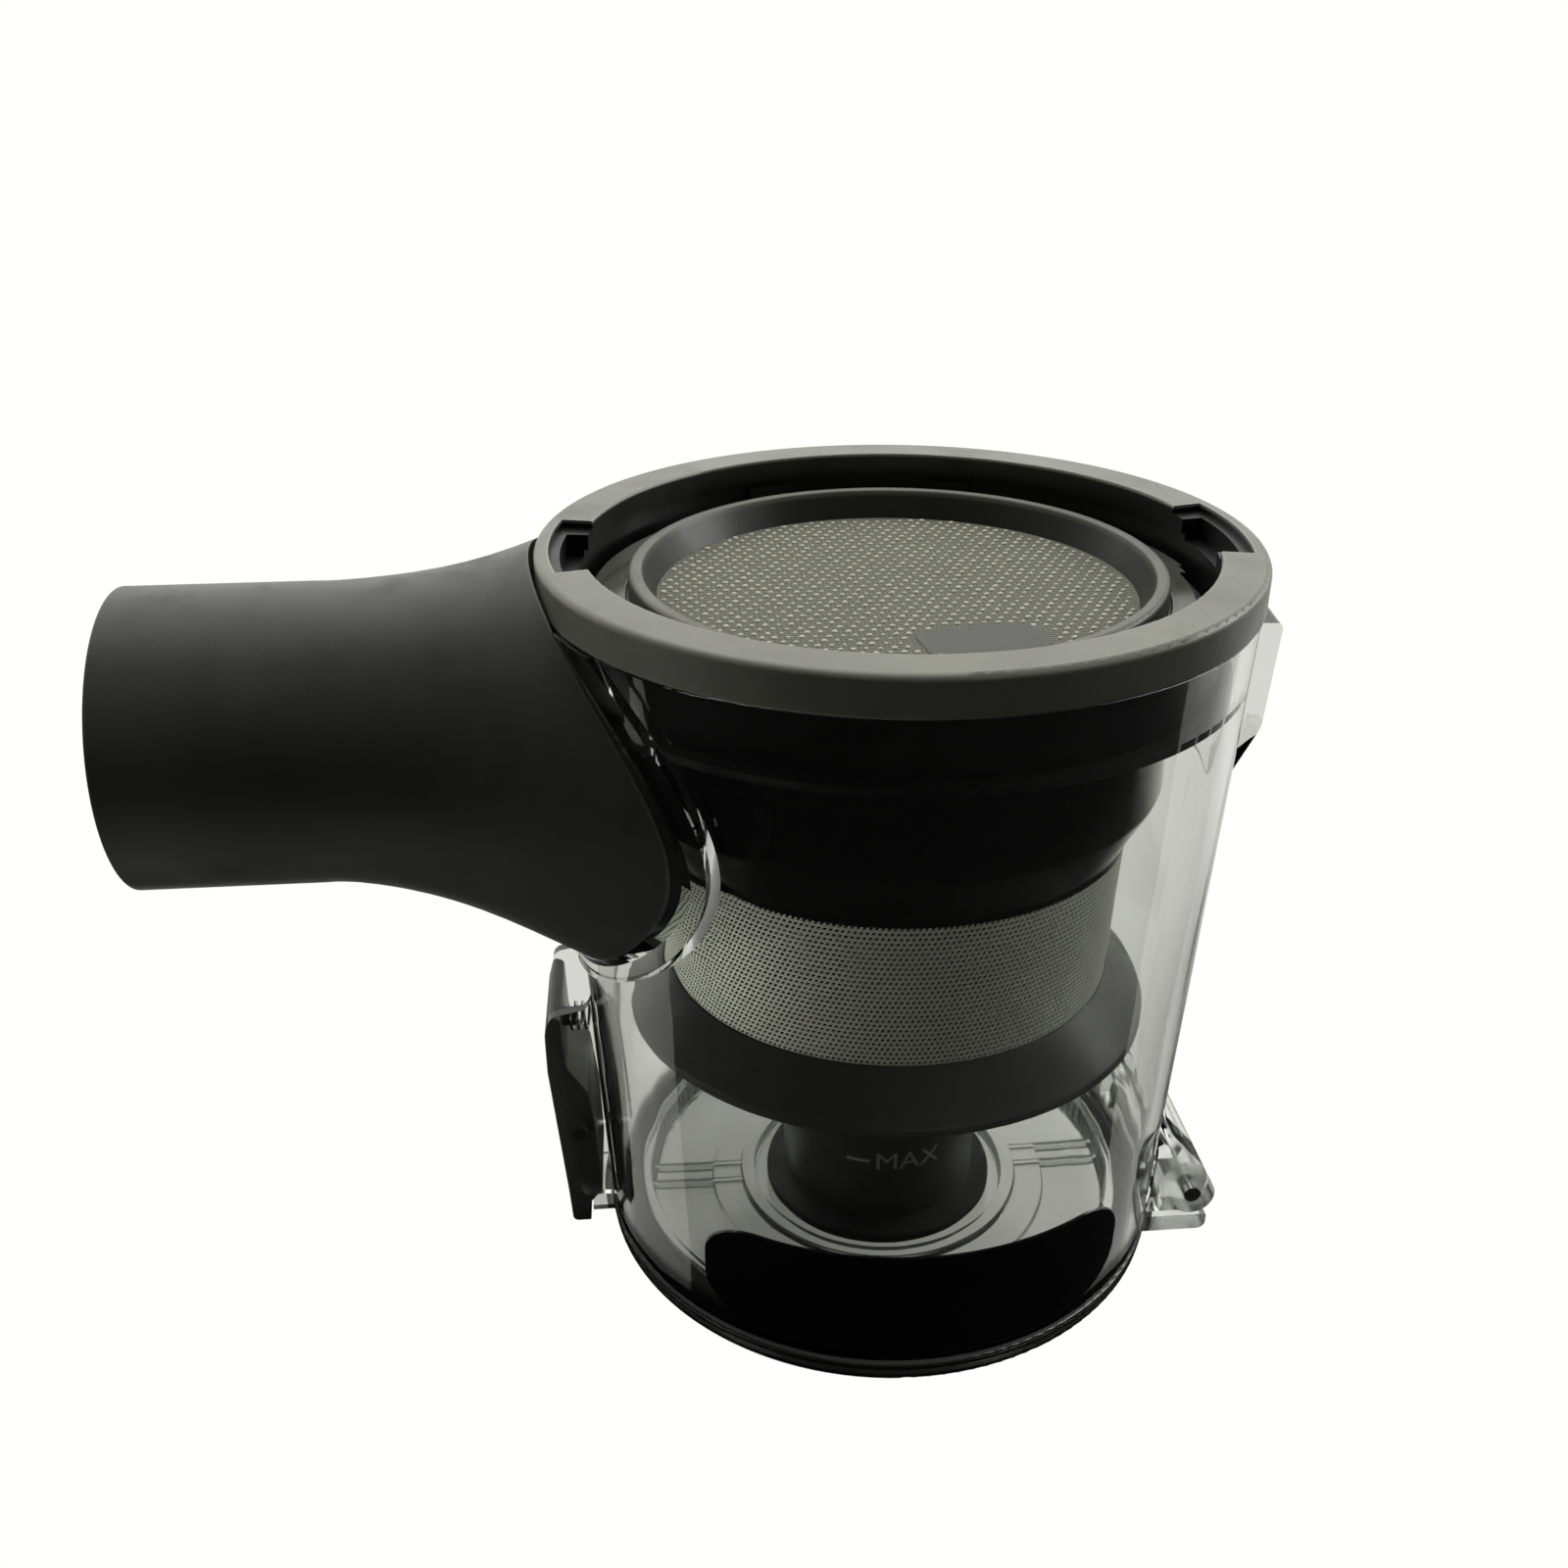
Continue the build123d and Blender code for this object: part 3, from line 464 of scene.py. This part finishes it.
def rim_shade_mask(tree):
    """One on the thick rim where the wall's foot, the lid and the black seal meet, where painted shade
    darkens the clear plastic.
    """
    reach = reach_of(tree)
    outside = math_node(tree, "GREATER_THAN", reach, RIM_REACH[0])
    within = math_node(tree, "LESS_THAN", reach, RIM_REACH[1])
    low = ramp_range(tree, height_of(tree), *RIM_HEIGHT, 1.0, 0.0)
    return product(tree, outside, within, low)


def moulding(name, dark, light, edge, rough, grain, depth, mask=None, masked_tone_or_shade=None):
    """An opaque moulding: grain, drifting tone, smudged gloss, rubbed edges, and a second tone by a mask,
    which on the collar's tube and inside the filter's rim is painted shade.
    """
    finish, tree = new_finish(name)
    skin = group_outputs(tree, moulded_grain, {"Grain": grain})
    wear = group_outputs(tree, handling_wear, {})
    tone = blend_colour(tree, skin["Tone"], dark, light)
    rubbed = blend_colour(tree, wear["Edge"], tone, edge)
    if mask:
        rubbed = blend_colour(tree, mask(tree), rubbed, masked_tone_or_shade)
    gloss = ramp_range(tree, wear["Smudge"], 0.0, 1.0, *rough)
    dull = total(tree, gloss, product(tree, wear["Scratch"], 0.12))
    show(tree, place(tree, "ShaderNodeBsdfPrincipled", inputs={
        "Base Color": rubbed, "Roughness": dull, "IOR": 1.5,
        "Normal": bump(tree, skin["Height"], 0.35, depth)}))
    return finish


def clear_moulding(name, tint, rim_painted_shade, rough, satin, clearness):
    """Clear plastic: light goes through it, darkened at the rim with painted shade, satin on its knuckles,
    with a pale shadow.
    """
    finish, tree = new_finish(name)
    flow = group_outputs(tree, mould_flow, {})
    wear = group_outputs(tree, handling_wear, {"Smudge size": 45.0})
    film = total(tree, product(tree, flow["Haze"], 0.03), product(tree, wear["Scratch"], 0.08))
    dull = total(tree, film, product(tree, knuckle_mask(tree), satin), rough)
    shell = place(tree, "ShaderNodeBsdfPrincipled", inputs={
        "Base Color": blend_colour(tree, rim_shade_mask(tree), tint, rim_painted_shade), "Roughness": dull, "IOR": 1.49,
        "Transmission Weight": clearness,
        "Normal": bump(tree, flow["Height"], 0.12, 0.8 * MM)})
    shade = place(tree, "ShaderNodeBsdfTransparent", inputs={"Color": (0.86, 0.87, 0.85, 1.0)})
    path = place(tree, "ShaderNodeLightPath")
    faint = math_node(tree, "MAXIMUM", path.outputs["Is Shadow Ray"], path.outputs["Is Diffuse Ray"])
    show(tree, place(tree, "ShaderNodeMixShader", inputs={
        0: faint, 1: shell.outputs[0], 2: shade.outputs[0]}))
    return finish


def rubber(name, dark, light):
    """Soft rubber: matt, with dust caught in its pores."""
    finish, tree = new_finish(name)
    skin = group_outputs(tree, moulded_grain, {"Grain": 3200.0, "Drift": 70.0})
    wear = group_outputs(tree, handling_wear, {"Smudge size": 110.0})
    show(tree, place(tree, "ShaderNodeBsdfPrincipled", inputs={
        "Base Color": blend_colour(tree, wear["Smudge"], dark, light), "IOR": 1.45,
        "Roughness": ramp_range(tree, skin["Tone"], 0.0, 1.0, 0.62, 0.82),
        "Normal": bump(tree, skin["Height"], 0.4, 0.12 * MM)}))
    return finish


def drawn_steel(name, dark, light, rough, stretch, metal):
    """Steel with fine lines drawn along the way it was worked."""
    finish, tree = new_finish(name)
    drawn = place(tree, "ShaderNodeMapping", inputs={"Vector": own_spot(tree), "Scale": stretch})
    line = noise(tree, drawn.outputs[0], 2600.0, detail=3.0, roughness=0.6)
    wear = group_outputs(tree, handling_wear, {"Smudge size": 80.0})
    show(tree, place(tree, "ShaderNodeBsdfPrincipled", inputs={
        "Base Color": blend_colour(tree, line, dark, light), "Metallic": metal,
        "Roughness": ramp_range(tree, wear["Smudge"], 0.0, 1.0, *rough),
        "Normal": bump(tree, line, 0.2, 0.05 * MM)}))
    return finish


def cloth(name, dark, light, pitch, depth, fuzz):
    """Woven filter cloth: threads over and under, paler on their crowns."""
    finish, tree = new_finish(name)
    weave = group_outputs(tree, thread_weave, {"Thread pitch": pitch, "Fuzz": fuzz})
    wear = group_outputs(tree, handling_wear, {"Smudge size": 70.0})
    crown = blend_colour(tree, weave["Tone"], dark, light)
    dusty = blend_colour(tree, product(tree, wear["Smudge"], 0.25), crown, dark)
    show(tree, place(tree, "ShaderNodeBsdfPrincipled", inputs={
        "Base Color": dusty, "Roughness": ramp_range(tree, weave["Tone"], 0.0, 1.0, 0.95, 0.72),
        "Sheen Weight": 0.25, "Sheen Roughness": 0.5,
        "Normal": bump(tree, weave["Height"], 0.8, depth)}))
    return finish


CLEAR_TINT = (0.90, 0.91, 0.88, 1.0)
# the rim tones of both clear plastics are painted shade where the wall's foot, the lid and the seal meet
clear_plastic = clear_moulding(
    "clear_plastic", CLEAR_TINT, rim_painted_shade=grey(0.12), rough=0.015, satin=0.14, clearness=1.0)
lid_plastic = clear_moulding(
    "lid_plastic", CLEAR_TINT, rim_painted_shade=grey(0.06), rough=0.12, satin=0.08, clearness=0.90)
duct_grey = moulding(
    "duct_grey", grey(0.022, 0.7), grey(0.032, 0.7), edge=grey(0.07, 0.6),
    rough=(0.34, 0.46), grain=2600.0, depth=0.06 * MM)
# collar_grey's masked tone is painted shade: near black in the notches, on the inner lip and the tube
collar_grey = moulding(
    "collar_grey", grey(0.090, 1.0), grey(0.118, 1.0), edge=grey(0.22, 0.8),
    rough=(0.32, 0.44), grain=2600.0, depth=0.06 * MM, mask=collar_tube_shade_mask, masked_tone_or_shade=grey(0.004))
shroud_black = moulding(
    "shroud_black", grey(0.004), grey(0.007), edge=grey(0.02),
    rough=(0.10, 0.20), grain=600.0, depth=0.008 * MM, mask=ledge_mask, masked_tone_or_shade=grey(0.035, 1.0))
post_grey = moulding(
    "post_grey", grey(0.040, 0.4), grey(0.058, 0.4), edge=grey(0.09, 0.4),
    rough=(0.36, 0.5), grain=2400.0, depth=0.06 * MM)
# filter_grey's masked tone is painted shade: near black on the wall inside the rim
filter_grey = moulding(
    "filter_grey", grey(0.058, 1.0), grey(0.082, 1.0), edge=grey(0.14, 0.8),
    rough=(0.36, 0.5), grain=2400.0, depth=0.06 * MM, mask=mouth_shade_mask, masked_tone_or_shade=grey(0.010, 1.0))
panel_black = moulding(
    "panel_black", grey(0.003), grey(0.006), edge=grey(0.02),
    rough=(0.22, 0.34), grain=5200.0, depth=0.03 * MM)
lever_black = moulding(
    "lever_black", grey(0.022), grey(0.034), edge=grey(0.06),
    rough=(0.32, 0.46), grain=2200.0, depth=0.07 * MM)
mark_ink = moulding(
    "mark_ink", grey(0.30), grey(0.38), edge=grey(0.40),
    rough=(0.45, 0.6), grain=3600.0, depth=0.03 * MM)
soft_rubber = rubber("soft_rubber", grey(0.008), grey(0.016))
seal_rubber = rubber("seal_rubber", grey(0.006), grey(0.012))
mesh_steel = drawn_steel(
    "mesh_steel", grey(0.80, 0.5), grey(0.96, 0.5), rough=(0.42, 0.55), stretch=(1, 1, 0.08), metal=0.25)
pin_steel = drawn_steel(
    "pin_steel", grey(0.42), grey(0.62), rough=(0.18, 0.32), stretch=(1, 0.05, 1), metal=1.0)
filter_paper = cloth(
    "filter_paper", grey(0.55, 0.5), grey(0.75, 0.5), pitch=0.5 * MM, depth=0.05 * MM, fuzz=1.0)
filter_weave = cloth(
    "filter_weave", grey(0.044, 1.5), grey(0.08, 1.5), pitch=1.0 * MM, depth=0.25 * MM, fuzz=0.5)
knot_thread = cloth(
    "knot_thread", grey(0.22, 1.4), grey(0.35, 1.4), pitch=0.4 * MM, depth=0.06 * MM, fuzz=0.8)
tab_cloth = cloth(
    "tab_cloth", grey(0.034, 0.8), grey(0.046, 0.8), pitch=0.4 * MM, depth=0.03 * MM, fuzz=0.6)


# Making pieces

def add_piece(name, mesh, finish, body):
    piece = bpy.data.objects.new(name, mesh)
    scene.collection.objects.link(piece)
    mesh.materials.clear()
    mesh.materials.append(finish)
    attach(piece, body)
    return piece


def shade_faces(mesh, smooth):
    for face in mesh.polygons:
        face.use_smooth = smooth


def flat_mesh(name, shape):
    """Turns a bmesh into a mesh with flat faces."""
    mesh = bpy.data.meshes.new(name)
    shape.to_mesh(mesh)
    shape.free()
    shade_faces(mesh, False)
    return mesh


def geometry_tree(name, sizes):
    """A Geometry Nodes tree with a named input for each size and one for the finish."""
    tree = bpy.data.node_groups.new(name, "GeometryNodeTree")
    tree.interface.new_socket("Geometry", in_out="OUTPUT", socket_type="NodeSocketGeometry")
    for label, value in sizes.items():
        kind = "NodeSocketInt" if isinstance(value, int) else "NodeSocketFloat"
        tree.interface.new_socket(label, in_out="INPUT", socket_type=kind).default_value = value
    tree.interface.new_socket("Finish", in_out="INPUT", socket_type="NodeSocketMaterial")
    return tree, place(tree, "NodeGroupInput").outputs, place(tree, "NodeGroupOutput")


def end_tree(tree, shape, finish, result):
    """The tree's end: real faces, with their finish."""
    real = place(tree, "GeometryNodeRealizeInstances", inputs={"Geometry": shape})
    done = place(tree, "GeometryNodeSetMaterial", inputs={
        "Geometry": real.outputs[0], "Material": finish})
    tree.links.new(done.outputs[0], result.inputs["Geometry"])


def evaluated_mesh(holder):
    bpy.context.view_layer.update()
    return bpy.data.meshes.new_from_object(
        holder.evaluated_get(bpy.context.evaluated_depsgraph_get()))


def grown_mesh(name, tree, sizes, finish):
    """Runs a tree on an empty object and gives back the plain mesh."""
    holder = bpy.data.objects.new(name, bpy.data.meshes.new(name))
    scene.collection.objects.link(holder)
    grower = holder.modifiers.new("grower", "NODES")
    grower.node_group = tree
    values = {**sizes, "Finish": finish}
    for socket in tree.interface.items_tree:
        if socket.in_out == "INPUT":
            grower[socket.identifier] = values[socket.name]
    holder.update_tag()
    mesh = evaluated_mesh(holder)
    mesh.name = name
    holder.modifiers.remove(grower)
    bpy.data.objects.remove(holder)
    return mesh


def point_spot(tree):
    return split(tree, place(tree, "GeometryNodeInputPosition").outputs[0])


# Perforated steel band of the shroud

def perforated_band():
    """A grid rolled into a band, each cell shrunk and cut out, then given the sheet's thickness."""
    low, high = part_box("mesh_screen")
    sizes = {"Top radius": high.x, "Foot radius": high.x - 1.2 * MM, "Foot height": low.z,
             "Band height": high.z - low.z, "Columns": 272, "Rows": 29,
             "Hole share": 0.58, "Sheet": 0.3 * MM, "Seam": 0.02 * MM, "Sewing": 0.002 * MM}
    tree, entry, result = geometry_tree("perforated_band", sizes)
    grid = place(tree, "GeometryNodeMeshGrid", inputs={
        "Size X": 1.0, "Size Y": 1.0, "Vertices X": total(tree, entry["Columns"], 1.0),
        "Vertices Y": total(tree, entry["Rows"], 1.0)})
    at = point_spot(tree)
    climb = total(tree, at["Y"], 0.5)
    step = math_node(tree, "DIVIDE", entry["Rows"], entry["Columns"])
    turn = product(tree, total(tree, at["X"], product(tree, climb, step, 0.5)), math.tau)
    taper = math_node(tree, "SUBTRACT", entry["Top radius"], entry["Foot radius"])
    outer = total(tree, entry["Foot radius"], product(tree, taper, climb))
    radius = math_node(tree, "SUBTRACT", outer, entry["Sheet"])
    on_band = place(tree, "ShaderNodeCombineXYZ", inputs={
        "X": product(tree, math_node(tree, "COSINE", turn), radius),
        "Y": product(tree, math_node(tree, "SINE", turn), radius),
        "Z": total(tree, entry["Foot height"], product(tree, climb, entry["Band height"]))})
    rolled = place(tree, "GeometryNodeSetPosition", inputs={
        "Geometry": grid.outputs["Mesh"], "Position": on_band.outputs[0]})
    closed = place(tree, "GeometryNodeMergeByDistance", inputs={
        "Geometry": rolled.outputs[0], "Distance": entry["Seam"]})
    cells = place(tree, "GeometryNodeExtrudeMesh", {"mode": "FACES"}, {
        "Mesh": closed.outputs[0], "Offset Scale": 0.0, "Individual": True})
    shrunk = place(tree, "GeometryNodeScaleElements", {"domain": "FACE"}, {
        "Geometry": cells.outputs["Mesh"], "Selection": cells.outputs["Top"],
        "Scale": entry["Hole share"]})
    sieve = place(tree, "GeometryNodeDeleteGeometry", {"domain": "FACE", "mode": "ALL"}, {
        "Geometry": shrunk.outputs[0], "Selection": cells.outputs["Top"]})
    thick = place(tree, "GeometryNodeExtrudeMesh", {"mode": "FACES"}, {
        "Mesh": sieve.outputs[0], "Offset Scale": entry["Sheet"], "Individual": False})
    inside = place(tree, "GeometryNodeFlipFaces", inputs={"Mesh": sieve.outputs[0]})
    both = place(tree, "GeometryNodeJoinGeometry")
    tree.links.new(thick.outputs["Mesh"], both.inputs[0])
    tree.links.new(inside.outputs[0], both.inputs[0])
    sewn = place(tree, "GeometryNodeMergeByDistance", inputs={
        "Geometry": both.outputs[0], "Distance": entry["Sewing"]})
    end_tree(tree, sewn.outputs[0], entry["Finish"], result)
    mesh = grown_mesh("sieve_band", tree, sizes, mesh_steel)
    band = add_piece("sieve_band", mesh, mesh_steel, BIN)
    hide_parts("mesh_screen")


# Thread knots and the tab on the filter's cloth

def random_share(tree, span, seed):
    return place(tree, "FunctionNodeRandomValue", {"data_type": "FLOAT"}, {
        2: span[0], 3: span[1], "Seed": seed}).outputs[1]


def cloth_knots():
    """Beads of thread in staggered rows over the cloth, left out under the tab."""
    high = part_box("filter_fabric")[1]
    sizes = {"Cloth radius": high.x - 0.8 * MM, "Cloth height": high.z, "Pitch": 1.9 * MM,
             "Row pitch": 1.7 * MM, "Knots each way": 47, "Knot length": 0.50 * MM,
             "Knot width": 0.40 * MM, "Knot height": 0.24 * MM, "Tab X": TAB_SPOT[0],
             "Tab Y": TAB_SPOT[1], "Tab reach X": TAB_BARE[0], "Tab reach Y": TAB_BARE[1],
             "Seed": 7}
    tree, entry, result = geometry_tree("cloth_knots", sizes)
    count = math_node(tree, "SUBTRACT", entry["Knots each way"], 1.0)
    grid = place(tree, "GeometryNodeMeshGrid", inputs={
        "Size X": product(tree, count, entry["Pitch"]), "Size Y": product(tree, count, entry["Row pitch"]),
        "Vertices X": entry["Knots each way"], "Vertices Y": entry["Knots each way"]})
    row = math_node(tree, "ROUND", math_node(tree, "DIVIDE", point_spot(tree)["Y"], entry["Row pitch"]))
    odd = math_node(tree, "ABSOLUTE", math_node(tree, "MODULO", row, 2.0))
    shift = product(tree, odd, product(tree, entry["Pitch"], 0.5))
    jitter = place(tree, "FunctionNodeRandomValue", {"data_type": "FLOAT_VECTOR"}, {
        0: (-KNOT_JITTER, -KNOT_JITTER, 0.0), 1: (KNOT_JITTER, KNOT_JITTER, 0.0), "Seed": entry["Seed"]})
    offset = place(tree, "ShaderNodeCombineXYZ", inputs={"X": shift, "Z": entry["Cloth height"]})
    moved = place(tree, "ShaderNodeVectorMath", {"operation": "ADD"}, {
        0: offset.outputs[0], 1: jitter.outputs["Value"]})
    laid = place(tree, "GeometryNodeSetPosition", inputs={
        "Geometry": grid.outputs["Mesh"], "Offset": moved.outputs[0]})
    now = point_spot(tree)

    def reach(first, second):
        return math_node(tree, "SQRT", total(
            tree, product(tree, first, first), product(tree, second, second)))

    def from_tab(way):
        away = math_node(tree, "SUBTRACT", now[way], entry["Tab " + way])
        return math_node(tree, "DIVIDE", away, entry["Tab reach " + way])

    out = math_node(tree, "GREATER_THAN", reach(now["X"], now["Y"]), entry["Cloth radius"])
    under = math_node(tree, "LESS_THAN", reach(from_tab("X"), from_tab("Y")), 1.0)
    kept = place(tree, "GeometryNodeDeleteGeometry", {"domain": "POINT", "mode": "ALL"}, {
        "Geometry": laid.outputs[0], "Selection": math_node(tree, "MAXIMUM", out, under)})
    bead = place(tree, "GeometryNodeMeshUVSphere", inputs={
        "Segments": 8, "Rings": 4, "Radius": 1.0})
    size = place(tree, "ShaderNodeCombineXYZ", inputs={
        "X": entry["Knot length"], "Y": entry["Knot width"], "Z": entry["Knot height"]})
    swell = random_share(tree, KNOT_SWELL, total(tree, entry["Seed"], 1.0))
    grown = place(tree, "ShaderNodeVectorMath", {"operation": "SCALE"}, {
        0: size.outputs[0], "Scale": swell})
    sway = random_share(tree, KNOT_SWAY, total(tree, entry["Seed"], 2.0))
    way = place(tree, "ShaderNodeCombineXYZ", inputs={"Z": sway})
    beads = place(tree, "GeometryNodeInstanceOnPoints", inputs={
        "Points": kept.outputs[0], "Instance": bead.outputs["Mesh"],
        "Rotation": way.outputs[0], "Scale": grown.outputs[0]})
    end_tree(tree, beads.outputs[0], entry["Finish"], result)
    mesh = grown_mesh("cloth_knots", tree, sizes, knot_thread)
    shade_faces(mesh, True)
    add_piece("cloth_knots", mesh, knot_thread, BIN)


def cloth_tab():
    """Bare woven tab sewn on the filter's cloth, with soft corners and a turned edge."""
    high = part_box("filter_fabric")[1]
    shape = bmesh.new()
    ring = []
    for step in range(TAB_STEPS):
        angle = math.tau * step / TAB_STEPS
        side_x = math.copysign(TAB_WIDE / 2 - TAB_CORNER, math.cos(angle))
        side_y = math.copysign(TAB_DEEP / 2 - TAB_CORNER, math.sin(angle))
        ring.append(Vector((side_x + TAB_CORNER * math.cos(angle),
                            side_y + TAB_CORNER * math.sin(angle), 0.0)))
    levels = ((1.0, -0.05), (1.0, 0.12), (0.985, 0.18), (0.93, 0.20), (0.90, 0.18), (0.86, 0.18))
    loops = []
    for share, rise in levels:
        loops.append([shape.verts.new(corner * share + Vector((0, 0, rise * MM))) for corner in ring])
    for first, second in zip(loops, loops[1:]):
        for k in range(TAB_STEPS):
            after = (k + 1) % TAB_STEPS
            shape.faces.new((first[k], first[after], second[after], second[k]))
    shape.faces.new(loops[-1])
    shape.faces.new(tuple(reversed(loops[0])))
    put = Matrix.Translation((*TAB_SPOT, high.z)) @ Matrix.Rotation(TAB_TURN, 4, "Z")
    bmesh.ops.transform(shape, matrix=put, verts=shape.verts)
    bmesh.ops.recalc_face_normals(shape, faces=shape.faces)
    add_piece("cloth_tab", flat_mesh("cloth_tab", shape), tab_cloth, BIN)


# Fill mark printed on the post

def wrap_on_post(mesh, radius, height):
    """Cuts a flat mark into narrow strips and rolls it round the post's front."""
    shape = bmesh.new()
    shape.from_mesh(mesh)
    for step in range(-STRIPS_EACH_WAY, STRIPS_EACH_WAY + 1):
        everything = shape.verts[:] + shape.edges[:] + shape.faces[:]
        bmesh.ops.bisect_plane(shape, geom=everything, plane_co=(step * STRIP, 0, 0), plane_no=(1, 0, 0))
    for vert in shape.verts:
        angle = vert.co.x / radius
        vert.co = Vector((radius * math.sin(angle), -radius * math.cos(angle), height + vert.co.y))
    shape.normal_update()
    for face in shape.faces:
        if face.normal.dot(face.calc_center_median() * Vector((1, 1, 0))) < 0:
            face.normal_flip()
    return shape


def fill_mark():
    """A dash and the word MAX, as ink on the post."""
    words = bpy.data.curves.new("fill_mark", "FONT")
    words.body = "MAX"
    words.size = 1.0
    holder = bpy.data.objects.new("fill_mark", words)
    scene.collection.objects.link(holder)
    flat = evaluated_mesh(holder)
    bpy.data.objects.remove(holder)
    left = min(v.co.x for v in flat.vertices)
    right = max(v.co.x for v in flat.vertices)
    foot = min(v.co.y for v in flat.vertices)
    head = max(v.co.y for v in flat.vertices)
    for vert in flat.vertices:
        vert.co.x = MARK_LEFT + (vert.co.x - left) / (right - left) * MARK_WIDE
        vert.co.y = (vert.co.y - foot) / (head - foot) * MARK_TALL - MARK_TALL / 2
        vert.co.z = 0.0
    dash = bmesh.new()
    dash.from_mesh(flat)
    dash.faces.new([dash.verts.new((x * MM, y * MM, 0.0)) for x, y in DASH_CORNERS])
    dash.to_mesh(flat)
    dash.free()
    mark = flat_mesh("fill_mark", wrap_on_post(flat, POST_RADIUS + INK_LIFT, MARK_HEIGHT))
    bpy.data.meshes.remove(flat)
    add_piece("fill_mark", mark, mark_ink, BIN)


# Putting the scene together

def dress(finish, *nodes):
    for name in nodes:
        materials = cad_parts[name].data.materials
        materials.clear()
        materials.append(finish)


studio_camera()
studio_light()
studio_floor()

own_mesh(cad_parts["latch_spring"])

dress(clear_plastic, "bin_shell")
dress(lid_plastic, "lid_disc")
dress(duct_grey, "inlet_duct")
dress(collar_grey, "top_collar")
dress(shroud_black, "shroud_head", "mesh_cage")
dress(post_grey, "skirt", "dust_post", "cyclone_cone", "vortex_plate")
dress(soft_rubber, "inlet_gasket", "collar_seal", "head_gasket", "filter_gasket", "post_boot")
dress(seal_rubber, "lid_seal")
dress(mesh_steel, "mesh_screen")
dress(pin_steel, "hinge_pin", "latch_pin", "latch_spring")
dress(filter_grey, "filter_frame")
dress(filter_paper, "filter_media")
dress(filter_weave, "filter_fabric")
dress(panel_black, "front_decal")
dress(lever_black, "latch_lever")

perforated_band()
cloth_knots()
cloth_tab()
fill_mark()
